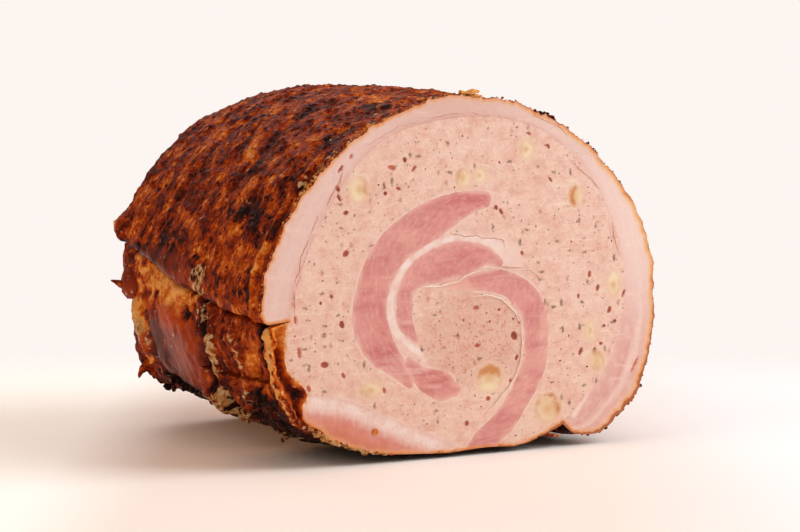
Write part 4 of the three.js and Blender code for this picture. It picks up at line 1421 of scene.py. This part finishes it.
def belly_material():
    """The belly, cut across: fat and lean in layers that follow the roll."""
    s = Shader("belly_cut")
    spot, polar_spot = s.place(), s.vector("polar")
    layered = s.noise(s.stretched(polar_spot, (0.06, 0.45, 1)), 1.0, 4.0, 0.55, 0.4)
    mid, fine = s.noise(spot, 0.3, 4.0), s.noise(spot, 1.3, 3.0)
    across = s.sway(s.value("across"), layered, 0.3)
    fatty = s.ramp(across, [
        (0.0, (228, 178, 168)), (0.12, (231, 192, 182)), (0.3, (235, 206, 198)), (0.65, (233, 203, 195)),
        (1.0, (231, 192, 178)),
    ])
    meaty = s.ramp(across, [
        (0.0, (230, 182, 168)), (0.2, (224, 168, 156)), (0.4, (219, 156, 146)), (0.55, (237, 204, 192)),
        (0.68, (226, 172, 160)), (1.0, (230, 184, 164)),
    ])
    shade = s.blend(s.value("lean"), fatty, meaty)
    shade = s.tints(shade, [
        (mid, 0.45, 0.7, 0.4, (240, 210, 198)), (fine, 0.5, 0.3, 0.2, (212, 154, 136)),
        # pale: lighter on the right with painted light, darker at the top and the lower right.
        (s.value("pale"), 0.0, 1.0, 1.0, (246, 220, 212)),
        (s.value("pale"), 0.0, -1.0, 1.0, (214, 162, 144)),
    ])
    shade = s.blend(s.value("membrane"), shade, colour(247, 226, 216))
    shade = knife_lines(s, shade, 0.6)
    inner = s.sway(s.value("wrap_edge"), s.noise(spot, 0.3, 4.0, 0.6), 3.2)
    broken = s.times(s.between(s.noise(spot, 0.22, 3.0), 0.45, 0.6), s.value("seam_line"))
    shade = s.tints(shade, [(inner, 0.8, 0.1, 0.75, (202, 112, 98), broken)])
    soft = s.sway(s.value("depth"), s.noise(spot, 0.25, 3.0), 2.4)
    gold = s.times(s.between(soft, 2.9, 0.8), s.value("gold"))
    shade = s.blend(gold, shade, colour(242, 192, 122))
    shade = painted_hole_shade(s, near_crust(s, shade, 1.9))
    height = s.plus(s.times(layered, 0.6), s.times(fine, 0.4))
    return s.finish(shade, 0.4, s.bump(height, 0.3, 0.35), 0.1)


def base_material():
    """The second piece of belly, at the lower left: a white layer with fibres that run into pinker meat."""
    s = Shader("belly_base_cut")
    spot = s.place()
    mid, fine = s.noise(spot, 0.22, 4.0), s.noise(spot, 1.3, 3.0)
    fibres = s.noise(s.place((1, 1, 0.36), (0, math.radians(-24), 0)), 0.6, 4.0, 0.6)
    below = s.sway(s.sway(s.value("below_edge"), mid, 6.0), fibres, 3.6)
    white = s.blend(s.between(mid, 0.35, 0.65), colour(238, 206, 196), colour(246, 226, 220))
    meat = s.blend(s.between(mid, 0.35, 0.65), colour(216, 132, 112), colour(226, 156, 142))
    shade = s.blend(s.between(s.value("below_edge"), 1.6, 0.2, 0, 0.6), white, colour(232, 188, 176))
    shade = s.blend(s.between(below, 3.4, 8.0), shade, meat)
    shade = s.tints(shade, [
        (below, 8.0, 12.5, 0.7, (210, 118, 82)), (fine, 0.5, 0.3, 0.25, (208, 140, 118)),
    ])
    shade = painted_hole_shade(s, near_crust(s, shade, 2.6))
    return s.finish(shade, 0.4, s.bump(s.plus(fibres, fine), 0.3, 0.35), 0.1)


def thread_material():
    """Membranes that stand out in the cut, and cracks, whose dark tone is painted shade."""
    s = Shader("cut_threads")
    tone = s.sway(s.value("tone"), s.noise(s.place(), 0.9, 3.0), 0.5)
    shade = s.ramp(tone, [
        (0.0, (186, 112, 90)), (0.35, (216, 150, 130)), (0.65, (238, 200, 184)), (1.0, (246, 228, 216)),
    ])
    return s.finish(shade, 0.45, s.bump(s.noise(s.place(), 1.5, 3.0), 0.2, 0.2), 0.1)


# ------------------------------------------------------------------ the scene

def add_camera():
    """The camera that was fitted to the photo."""
    camera = bpy.data.objects.new("camera", bpy.data.cameras.new("camera"))
    camera.matrix_world = Matrix((
        (0.8660254, 0.04236, -0.49820, -0.453084),
        (-0.5, 0.07337, -0.86291, -0.803912),
        (0.0, 0.99640, 0.08472, 0.138605),
        (0, 0, 0, 1)))
    camera.data.lens = 115.3
    camera.data.sensor_width = 36
    camera.data.clip_start = 0.02
    bpy.context.scene.collection.objects.link(camera)
    bpy.context.scene.camera = camera


def add_light(name, place, aim, size, power, tint):
    light = bpy.data.lights.new(name, "AREA")
    light.shape = "RECTANGLE"
    light.size, light.size_y = size
    light.energy = power
    light.color = tint
    thing = bpy.data.objects.new(name, light)
    thing.location = place
    thing.rotation_euler = (Vector(aim) - Vector(place)).to_track_quat("-Z", "Y").to_euler()
    bpy.context.scene.collection.objects.link(thing)


# Directions over the floor, away from the camera and to its right.
AHEAD = (0.49820, 0.86291, 0.0)
ASIDE = (0.86291, -0.49820, 0.0)
BACKDROP = colour(252, 245, 241)
BLACK = (0, 0, 0, 1)
NEUTRAL = (0.96, 1.0, 1.0)
WARM = (1, 0.82, 0.68)
ROOM = (1, 0.7, 0.54)
ROOM_STRENGTH = 0.34
MIDDLE = (0, 0, 0.05)
# Area lights: place, aim, size, power and colour.
LIGHTS = {
    "key": ((0.85, -0.55, 0.75), MIDDLE, (0.9, 0.9), 11.7, NEUTRAL),
    "front": ((-0.35, -1.2, 0.6), MIDDLE, (0.9, 0.6), 0.9, NEUTRAL),
    "back": ((0.1, 0.9, 0.8), MIDDLE, (0.9, 0.5), 2.2, NEUTRAL),
    "left": ((-1.1, -0.1, 0.8), MIDDLE, (0.7, 0.7), 2.4, WARM),
    "backdrop": ((0.6, 1.0, 2.6), (1.1, 1.9, 0.6), (3, 1), 8, (1, 1, 1)),
}
HALF_WIDTH = 4.0  # of the floor and the backdrop, in metres
BELOW_TABLE = 0.0002  # how far the floor lies below the roast
# Painted glow the floor gives off to lift and warm its shade, from the left of the roast to its right, in
# linear colours.
PAINTED_FLOOR_GLOW = [
    (0.235, (0.29, 0.265, 0.24, 1)), (0.325, (0.1, 0.042, 0.02, 1)), (0.68, (0.1, 0.042, 0.02, 1)),
    (0.84, (0.1, 0.12, 0.17, 1)),
]
GLOW_SCALE = 2.5  # parts of that row to a metre
TURNS_BRIGHT = (0.10, 0.24)  # metres beyond the roast over which the floor turns as bright as the backdrop
# The painted glow is left out under the cut, so the shadow there stays dark.
DARK_GAP = (0.06, 0.028)  # half sizes in metres of the place under the cut without a glow
GAP_CENTRE = (-0.1, -1.8, 0)  # and its middle, counted in them


def sweep(name, profile, material):
    """A wide sheet that follows a profile of (distance beyond the roast, height) points."""
    side = np.array([AHEAD[1], -AHEAD[0]])
    verts = []
    for along, up in profile:
        for wide in (-HALF_WIDTH, HALF_WIDTH):
            verts.append((*(np.array(AHEAD[:2]) * along + side * wide), up - BELOW_TABLE))
    faces = [(2 * i, 2 * i + 1, 2 * i + 3, 2 * i + 2) for i in range(len(profile) - 1)]
    mesh = bpy.data.meshes.new(name)
    mesh.from_pydata([Vector(v) for v in verts], [], faces)
    for polygon in mesh.polygons:
        polygon.use_smooth = True
    mesh.materials.append(material)
    thing = bpy.data.objects.new(name, mesh)
    bpy.context.scene.collection.objects.link(thing)
    return thing


def glowing(s, glow):
    """Makes a material of the stage shine by itself, without a gloss."""
    s.set(s.principled.inputs["Emission Color"], glow)
    s.principled.inputs["Emission Strength"].default_value = 1.0
    s.principled.inputs["Specular IOR Level"].default_value = 0.0


def floor_material():
    """White near the roast, with a painted warm glow in its shadow, and evenly bright farther off."""
    s = Shader("floor")
    metres = s.place((MM, MM, MM))
    beyond, aside = (s.vectors("DOT_PRODUCT", metres, way, "Value") for way in (AHEAD, ASIDE))
    far = s.between(beyond, *TURNS_BRIGHT)
    # Painted glow that lifts the floor's shade, warm beside the roast and stronger to its left.
    glow = s.ramp(s.math("MULTIPLY_ADD", aside, GLOW_SCALE, 0.5), PAINTED_FLOOR_GLOW)
    gap = s.place((MM / DARK_GAP[0], MM / DARK_GAP[1], 0))
    under = s.vectors("DISTANCE", gap, GAP_CENTRE, "Value")
    glow = s.blend(s.between(under, 1.5, 0.8), glow, BLACK)
    glowing(s, s.blend(far, glow, BACKDROP))
    base = s.blend(far, colour(254, 252, 250), BLACK)
    return s.finish(base, 0.7, s.bump(s.noise(s.place(), 0.02, 2.0), 0.02, 0.1))


def backdrop_material():
    """A wall that only shines."""
    s = Shader("backdrop")
    glowing(s, BACKDROP)
    s.principled.inputs["Base Color"].default_value = BLACK
    return s.material


def add_studio():
    """A pale floor that turns up into a bright wall well behind the roast, and soft light."""
    floor = sweep("floor", [(-3.0, 0.0), (-0.5, 0.0), (0.5, 0.0)], floor_material())
    turns = np.radians(np.linspace(10, 90, 9))
    curve = [(1.4 + 0.8 * math.sin(t), 0.8 - 0.8 * math.cos(t)) for t in turns]
    wall = sweep("backdrop", [(0.5, 0.0), (1.4, 0.0)] + curve + [(2.2, 3.0)], backdrop_material())
    wall.visible_diffuse = False
    wall.visible_glossy = False
    for name, light in LIGHTS.items():
        add_light(name, *light)
    world = bpy.data.worlds.new("studio")
    world.use_nodes = True
    background = world.node_tree.nodes["Background"].inputs
    background["Color"].default_value = (*ROOM, 1)
    background["Strength"].default_value = ROOM_STRENGTH
    bpy.context.scene.world = world
    bpy.context.scene.view_settings.view_transform = "Standard"


# ------------------------------------------------------------------ the pieces

# Deeper pink, above 0, and paler places, below 0, in the strips: x, z, half sizes, change.
LOIN_TONES = [
    (0, 87, 9, 6, 0.9), (-24.5, 75, 7, 5, -0.5), (-37, 55, 7, 14, 0.5), (-33, 38, 7, 8, 0.75),
    (-44, 58, 3, 12, -0.5), (-11, 83, 5, 5, 0.3), (2, 68.5, 7, 4, 0.8), (-14, 66, 8, 4, -0.3),
    (-23, 54, 3, 9, -0.2), (-14.5, 26, 9, 6, 0.9), (-5, 58, 8, 4, -0.9), (13, 60, 8, 4, -0.2),
    (24, 55, 6, 6, 0.0), (32, 38, 4, 16, -0.7), (25, 30, 5, 10, -0.4), (21, 18, 7, 8, -0.4),
    (13, 8, 8, 7, 0.0), (10, -2, 8, 6, 0.2), (16, 1.5, 5, 5, -0.4),
]
# How each nut's colour leans: golden above 0, cream below 0, at its top, bottom, left and right.
NUT_TINTS = [
    (0.1, 0.0, 0.1, 0.5), (0.95, -0.9, 0.1, 0.2), (-0.6, -0.9, 0.5, -0.6), (0.2, -0.3, 0.5, -0.6),
    (-0.5, -0.8, 0.2, -0.8), (-0.3, -0.7, -0.5, 0.7), (0.5, 0.4, 0.9, -0.4), (-0.9, 0.1, -0.2, -0.1),
    (-0.6, 0.2, 0.3, -0.6), (0.3, 0.2, 0.1, 0.1), (-0.3, -0.3, 0.0, -0.4),
]
MEMBRANE = [(62, 60), (62.5, 50), (61.5, 41), (59.5, 35), (56, 29), (52, 23), (47.5, 16), (44, 11)]


def soft_spots(x, z, spots):
    """Adds up soft elliptical spots."""
    total = 0 * x
    for cx, cz, half_x, half_z, change in spots:
        distance = np.hypot((x - cx) / half_x, (z - cz) / half_z)
        total += change * (1 - smooth(0.4, 1.2, distance + 0.3 * lumps.layers(x / 5, z / 5, cx, count=2)))
    return total


def places(thing):
    """The points of a mesh, in millimetres."""
    flat = np.zeros(len(thing.data.vertices) * 3)
    thing.data.vertices.foreach_get("co", flat)
    return flat.reshape(-1, 3) / MM


def roll_angles(thing):
    """The angle round the roll of each point of the cut, in degrees."""
    flat = np.zeros(len(thing.data.vertices) * 3)
    thing.data.attributes["polar"].data.foreach_get("vector", flat)
    return np.degrees(flat.reshape(-1, 3)[:, 0] / ROLL_RADIUS)


def nut_fields(x, z, number):
    """Distance from the nut's middle, 1 at its edge, and how golden it is."""
    cx, cz, half_x, half_z = NUTS[number]
    a, b = (x - cx) / half_x, (z - cz) / half_z
    top, bottom, left, right = NUT_TINTS[number]
    golden = top * np.maximum(b, 0) + bottom * np.maximum(-b, 0)
    golden = golden + left * np.maximum(-a, 0) + right * np.maximum(a, 0)
    return {"rho": np.hypot(a, b), "golden": 2.0 * golden}


def wrap_fields(x, z, angle):
    """Where round the roll the belly is lean or golden, where it is paler with painted light on the right
    and darker at the top, and where its seam and its membrane show.
    """
    line = spaced(spline(MEMBRANE), 0.4)
    gap = nearest(np.column_stack([x, z]), line) + 0.5 * lumps.layers(x / 3, z / 3, 1.0, count=2)
    return {
        "lean": 0.12 + 0.75 * smooth(4, -22, angle),
        "seam_line": smooth(150, 168, angle) + 0.35 * smooth(60, 75, angle) * smooth(120, 100, angle),
        # pale: lighter on the right, painted light from that side, and darker at the top and at the lower
        # right.
        "pale": 0.55 * bell(angle - 18, 22) - 0.45 * bell(angle - 95, 28) - 0.12 * bell(angle + 40, 14),
        "gold": 0.8 * bell(angle - 12, 34),
        "membrane": 0.8 * smooth(1.9, 0.3, gap),
    }


def dress(thing, name):
    """Adds what the piece's own material needs, and returns the name of that material."""
    at = places(thing)
    x, z = at[:, 0], at[:, 2]
    if name.startswith("nut"):
        kind, fields = "nut", nut_fields(x, z, int(name[4:]) - 1)
    elif name == "belly_wrap":
        kind, fields = "belly", wrap_fields(x, z, roll_angles(thing))
    elif name == "belly_base":
        kind, fields = "base", {"below_edge": nearest(at[:, [0, 2]], spaced(spline(BASE_EDGE), 1.0))}
    elif name == "forcemeat":
        in_middle = 1 - smooth(0.6, 1.05, np.hypot((x - 3) / 24, (z - 41) / 20))
        kind, fields = "forcemeat", {"core": in_middle * (at[:, 1] < FRONT + 3)}
    elif name == "fat_layer":
        kind, fields = "fat", {"fade": smooth(8, 20, x + 2.5 * lumps.layers(x / 4, z / 4, 3.0, count=2))}
    else:
        kind, fields = "loin", {"deep": soft_spots(x, z, LOIN_TONES)}
    add_fields(thing.data, fields)
    return kind


# ------------------------------------------------------------------ ragged bits

JUST_BEHIND_CUT = 0.002  # as a share of the length
FLANK_LENGTH = 122  # about the length of the roast at the flank


class Scraps:
    """Many small lumps and strands, joined in one mesh."""

    def __init__(self, seed):
        self.rng = np.random.default_rng(seed)
        self.verts, self.faces, self.looks, self.count = [], [], [], 0
        self.balls = [self.ball(1), self.ball(2)]

    def ball(self, cuts):
        shape = bmesh.new()
        bmesh.ops.create_icosphere(shape, subdivisions=cuts, radius=1)
        verts = np.array([v.co for v in shape.verts])
        faces = np.array([[v.index for v in f.verts] for f in shape.faces])
        shape.free()
        return verts, faces

    def keep(self, verts, faces, tone, cream, glaze=0.0):
        self.verts.append(verts)
        self.faces.append(np.asarray(faces) + self.count)
        self.looks.append(np.tile([tone, cream, glaze], (len(verts), 1)))
        self.count += len(verts)

    def lump(self, centre, half, tone, cream=0.0, glaze=0.0, fine=0, rough=0.35):
        """A lump with given half sizes, or, when these are one number, turned and stretched at random."""
        unit, faces = self.balls[fine]
        turn, sizes = np.eye(3), np.asarray(half) * np.ones(3)
        if np.ndim(half) == 0:
            turn = np.linalg.qr(self.rng.normal(size=(3, 3)))[0]
            sizes = half * self.rng.uniform(0.6, 1.2, 3)
        if np.linalg.det(turn) < 0:
            turn[0] *= -1
        seed = self.rng.uniform(0, 90)
        x, y, z = unit.T * 1.3
        bumps = 1 + rough * crags.layers(x + seed, y, z, count=2)
        self.keep((unit * bumps[:, None] * sizes) @ turn.T + centre, faces, tone, cream, glaze)

    def strand(self, path, radii, tone, cream=0.0, sides=10):
        """A lumpy thread along a path, pointed at the ends where its radius is small."""
        line = spline(path, 8)
        count = len(line)
        radius = np.interp(np.linspace(0, 1, count), np.linspace(0, 1, len(radii)), radii)
        ahead = np.gradient(line, axis=0)
        ahead /= np.linalg.norm(ahead, axis=1)[:, None]
        side = np.cross(ahead, [0.2, 1.0, 0.1])
        side /= np.linalg.norm(side, axis=1)[:, None]
        over = np.cross(side, ahead)
        turns = np.linspace(0, 2 * math.pi, sides, endpoint=False)[None, :, None]
        out = side[:, None] * np.cos(turns) + over[:, None] * np.sin(turns)
        where = line[:, None] + out * radius[:, None, None]
        uneven = 1 + 0.45 * crags.layers(*(where / 1.7).transpose(2, 0, 1), count=2)
        verts = (line[:, None] + out * (radius[:, None] * uneven)[..., None]).reshape(-1, 3)
        verts = np.vstack([verts, line[:1], line[-1:]])
        verts[:, 2] = np.maximum(verts[:, 2], 0)
        self.keep(verts, tube_faces(count, sides), tone, cream)

    def along_rim(self, low, high, count, size, tone, cream, out, ahead, spread):
        """Crumbs along the rim of the cut, between two angles."""
        angles = self.rng.uniform(low, high, count)
        kind = "wrap" if low > NOTCH_ANGLE - 1 else "flank"
        radii = browned(kind, angles, JUST_BEHIND_CUT + 0 * angles)[0] + out
        for angle, radius in zip(angles, radii):
            x, z = polar(angle, radius + self.rng.normal(0, 0.25))
            half = size * self.rng.uniform(0.5, 1.3)
            y = FRONT + ahead + abs(self.rng.normal(0, spread))
            self.lump((float(x), y, max(float(z), half)), half, tone + self.rng.normal(0, 0.1), cream)

    def make(self, name):
        verts, faces = np.vstack(self.verts), np.vstack(self.faces)
        tone, cream, glaze = np.vstack(self.looks).T
        looks = looks_of(tone, cream, 0.7, verts / 3.0, glaze)
        return make_mesh(name, verts, faces, np.zeros(len(faces), int), looks)


def tube_faces(count, sides):
    """The triangles of a tube of rings, closed by the two points that follow them."""
    here = np.arange(count * sides).reshape(count, sides)
    beside = np.roll(here, -1, axis=1)
    a, b, c, d = here[:-1], beside[:-1], beside[1:], here[1:]
    wall = np.stack([np.stack([a, b, c], -1), np.stack([a, c, d], -1)], 2)
    first = np.full(sides, count * sides)
    near = np.stack([first, beside[0], here[0]], -1)
    far = np.stack([first + 1, here[-1], beside[-1]], -1)
    return np.vstack([wall.reshape(-1, 3), np.stack([near, far], 1).reshape(-1, 3)])


# What hangs from the far edge. Lumps: place, half sizes, tone, glaze. Strands: points, radii, tone.
HANGING_LUMPS = [((-70.5, 53, 53), (5.5, 6, 6.5), 0.5, 0.7), ((-67.5, 57, 59), (5.5, 5, 8), 0.6, 0.5)]
HANGING_STRANDS = [
    ([(-71, 55, 52), (-74.5, 55, 52.5), (-77, 55, 53.6), (-79, 55, 54.2)], [3, 1.6, 0.8, 0.2], 0.6),
    ([(-64, 50, 24), (-67, 50, 22.5), (-69.4, 50, 20.8), (-70.4, 50, 18.4)], [3.5, 2.2, 1.1, 0.3], 0.62),
    ([(-60, 46, 20.5), (-64, 48, 20.6), (-67, 49, 21.5)], [2.5, 1.8, 1.2], 0.5),
    ([(-66, 28, 22), (-66.5, 28, 19.5), (-66.6, 28, 18)], [0.9, 0.5, 0.5], 0.15),
]
# Pale shreds on the flank: angle, place along the roast, tone, cream.
SHREDS = [
    (-146, -10, 0.5, 0.8), (-141, -14, 0.5, 0.85), (-136, -20, 0.55, 0.7), (-133, -24, 0.5, 0.8),
    (-148, -32, 0.4, 0.7), (-144, -26, 0.4, 0.6),
]
# Crumbs on the rim of the cut: between two angles, count, size, tone, cream, how far out, ahead and spread.
RIM_CRUMBS = [
    (158, 183, 60, 0.42, 0.95, 0.2, -0.2, 0.3, 0.5), (146, 154, 26, 0.55, 0.9, 0.6, 0.1, 0.4, 1.0),
    (100, 158, 110, 0.5, 0.88, 0.12, 0.0, 0.4, 0.8), (85, 92, 22, 0.75, 0.98, 0.0, 0.4, 0.8, 0.9),
    (57, 65, 22, 0.7, 0.3, 0.0, 0.4, 0.8, 0.8), (-40, 100, 110, 0.36, 0.78, 0.0, 0.1, 0.5, 0.7),
    (28, 44, 20, 0.55, 0.3, 0.0, 0.3, 0.6, 0.8), (-50, -22, 60, 0.6, 0.3, 0.0, 0.2, 0.5, 1.0),
    (-147, -118, 110, 0.7, 0.7, 0.8, 0.0, 0.2, 1.2), (-142, -125, 46, 1.1, 0.9, 1.2, 0.2, 0.3, 0.6),
    (-140, -96, 60, 0.6, 0.35, 0.0, 0.2, 0.5, 1.2), (-118, -92, 40, 0.55, 0.5, 0.2, 0.0, 0.4, 1.2),
    (-66, -53, 50, 0.8, 0.62, 0.35, -0.3, 0.6, 1.4), (-172, -146, 50, 0.5, 0.72, 0.3, 0.0, 0.4, 0.9),
]
RIM_STRANDS = [
    ([(31, -64, 4.5), (33.5, -64.4, 3), (36, -64.4, 2.6), (38, -64, 1.2)], [0.5, 0.9, 0.8, 0.3], 0.6, 0.3),
    ([(-1, -64.3, 123.6), (2, -64.6, 124.0), (5, -64, 124.0)], [0.3, 0.9, 0.3], 1.0, 0.1),
]


def hanging_bits():
    """Shreds that stand out from the flank and the far edge."""
    bits = Scraps(41)
    for centre, half, tone, glaze in HANGING_LUMPS:
        bits.lump(centre, half, tone, 0, glaze, fine=1)
    for path, radii, tone in HANGING_STRANDS:
        bits.strand(path, radii, tone)
    bits.lump((-66.6, 28, 16.9), (0.95, 0.95, 1.5), 0.15, 0, 0.6, fine=1, rough=0.1)
    for _ in range(26):
        along = bits.rng.uniform(-12, 36)
        place = (-64.5 - 0.05 * along + bits.rng.normal(0, 0.8), along, 18.5 + bits.rng.normal(0, 1.0))
        bits.lump(place, bits.rng.uniform(0.7, 1.6), 0.05)
    for angle, along, tone, cream in SHREDS:
        radius = browned("flank", np.array(angle), np.array((along - FRONT) / FLANK_LENGTH))[0]
        x, z = polar(angle, float(radius))
        for _ in range(7):
            jitter = bits.rng.normal(0, 1.3, 3)
            place = (float(x) + 0.5 * jitter[0], along + jitter[1], max(1.0, float(z) + 0.6 * jitter[2]))
            bits.lump(place, bits.rng.uniform(0.7, 1.7), tone, cream)
    return bits.make("hanging_bits")


def rim_crumbs():
    """Crumbs of crust and fat along the rim of the cut face."""
    bits = Scraps(43)
    for crumbs in RIM_CRUMBS:
        bits.along_rim(*crumbs)
    for strand in RIM_STRANDS:
        bits.strand(*strand)
    bits.lump((-36.1, FRONT - 0.1, 10.8), (1.3, 0.5, 1.1), 0.9, 0.0, 0.3, fine=1, rough=0.2)
    return bits.make("rim_crumbs")


# Threads in the cut face: points, radius, tone from a dark crack, 0, painted shade, to a white membrane, 1.
THREADS = [
    ([(-6.9, 76.6), (-0.4, 74.9), (3.7, 75.2), (6.5, 74.2), (13.7, 73.4), (14.9, 70.8)], 0.16, 0.32),
    ([(5.4, 63.3), (10.2, 63.9), (16, 63), (19.7, 62.8), (25.6, 62.5), (30, 59)], 0.3, 0.72),
    ([(10, 64.6), (16, 63.8), (22, 63.4)], 0.14, 0.3),
    ([(-19.5, 58), (-15, 58.8), (-12.1, 58.4), (-7, 59.4), (-3.9, 60.2), (0.7, 62), (5.4, 63.3)], 0.4, 0.95),
    ([(2, 54.3), (7.8, 54.6), (12, 53.6), (15.0, 52.0), (19.0, 48.3), (21.2, 44)], 0.34, 0.9),
    ([(21.4, 43), (22, 38), (21.6, 32), (19.6, 26.9), (16.3, 22.1), (11.6, 17.3), (6.7, 13.5)], 0.32, 0.8),
    ([(59.5, 77.7), (60.7, 71.5), (62.8, 66.1)], 0.12, 0.42),
    ([(43.6, 98.2), (49.9, 93.7), (54.1, 89.3)], 0.12, 0.42),
    ([(40.4, 103.5), (46, 102.6), (49.8, 102.0), (55, 100.2)], 0.1, 0.75),
    ([(1.8, 116.9), (5.2, 116.0), (9.2, 115.7)], 0.13, 0.42),
    ([(26.0, 115.8), (33, 113.2), (37.3, 111.3), (40.4, 108.3)], 0.12, 0.42),
    ([(-66.2, 62), (-64.4, 66), (-63.8, 70), (-61, 76)], 0.16, 0.4),
    ([(-66.4, 52), (-66.2, 57), (-66.6, 60)], 0.12, 0.42),
    ([(-54, 87), (-52, 91), (-49.6, 94.2), (-48, 98)], 0.16, 0.4),
    ([(-60, 78), (-58.4, 81.4), (-57.4, 84)], 0.12, 0.42),
    ([(-40, 106), (-33, 109.6), (-27, 112.4), (-20, 114)], 0.11, 0.45),
    ([(-14, 115.3), (-6, 116.6), (-1, 116.4)], 0.13, 0.4),
]


def cut_threads():
    """Fine membranes, and cracks as dark threads of painted shade, that lie in the cut face."""
    threads = Scraps(47)
    for line, radius, tone in THREADS:
        path = [(x, FRONT + 0.14 - 0.5 * radius, z) for x, z in spaced(spline(line), 1.2)]
        path = [tuple(p + threads.rng.normal(0, 0.13, 3) * (1, 0.2, 1)) for p in np.array(path)]
        threads.strand(path, [0.05, radius, 0.7 * radius, radius, 0.05], tone, sides=6)
    return threads.make("cut_threads")


def build():
    """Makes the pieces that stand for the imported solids, and then the scraps."""
    face = Face()
    crust = crust_material()
    cut = {"forcemeat": forcemeat_material(), "loin": loin_material(), "fat": fat_material(),
           "nut": nut_material(), "belly": belly_material(), "base": base_material()}
    for name in REGIONS[1:]:
        thing = piece_mesh(face, name)
        kind = dress(thing, name)
        thing.data.materials.append(cut[kind])
        thing.data.materials.append(crust)
        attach(thing, "root")
        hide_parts(name)
    add_scraps(crust)


def add_scraps(crust):
    """Adds the pieces that have no node of their own."""
    threads = cut_threads()
    threads.data.materials.append(thread_material())
    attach(threads, "root")
    for thing in (hanging_bits(), rim_crumbs()):
        thing.data.materials.append(crust)
        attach(thing, "root")


add_camera()
add_studio()
build()
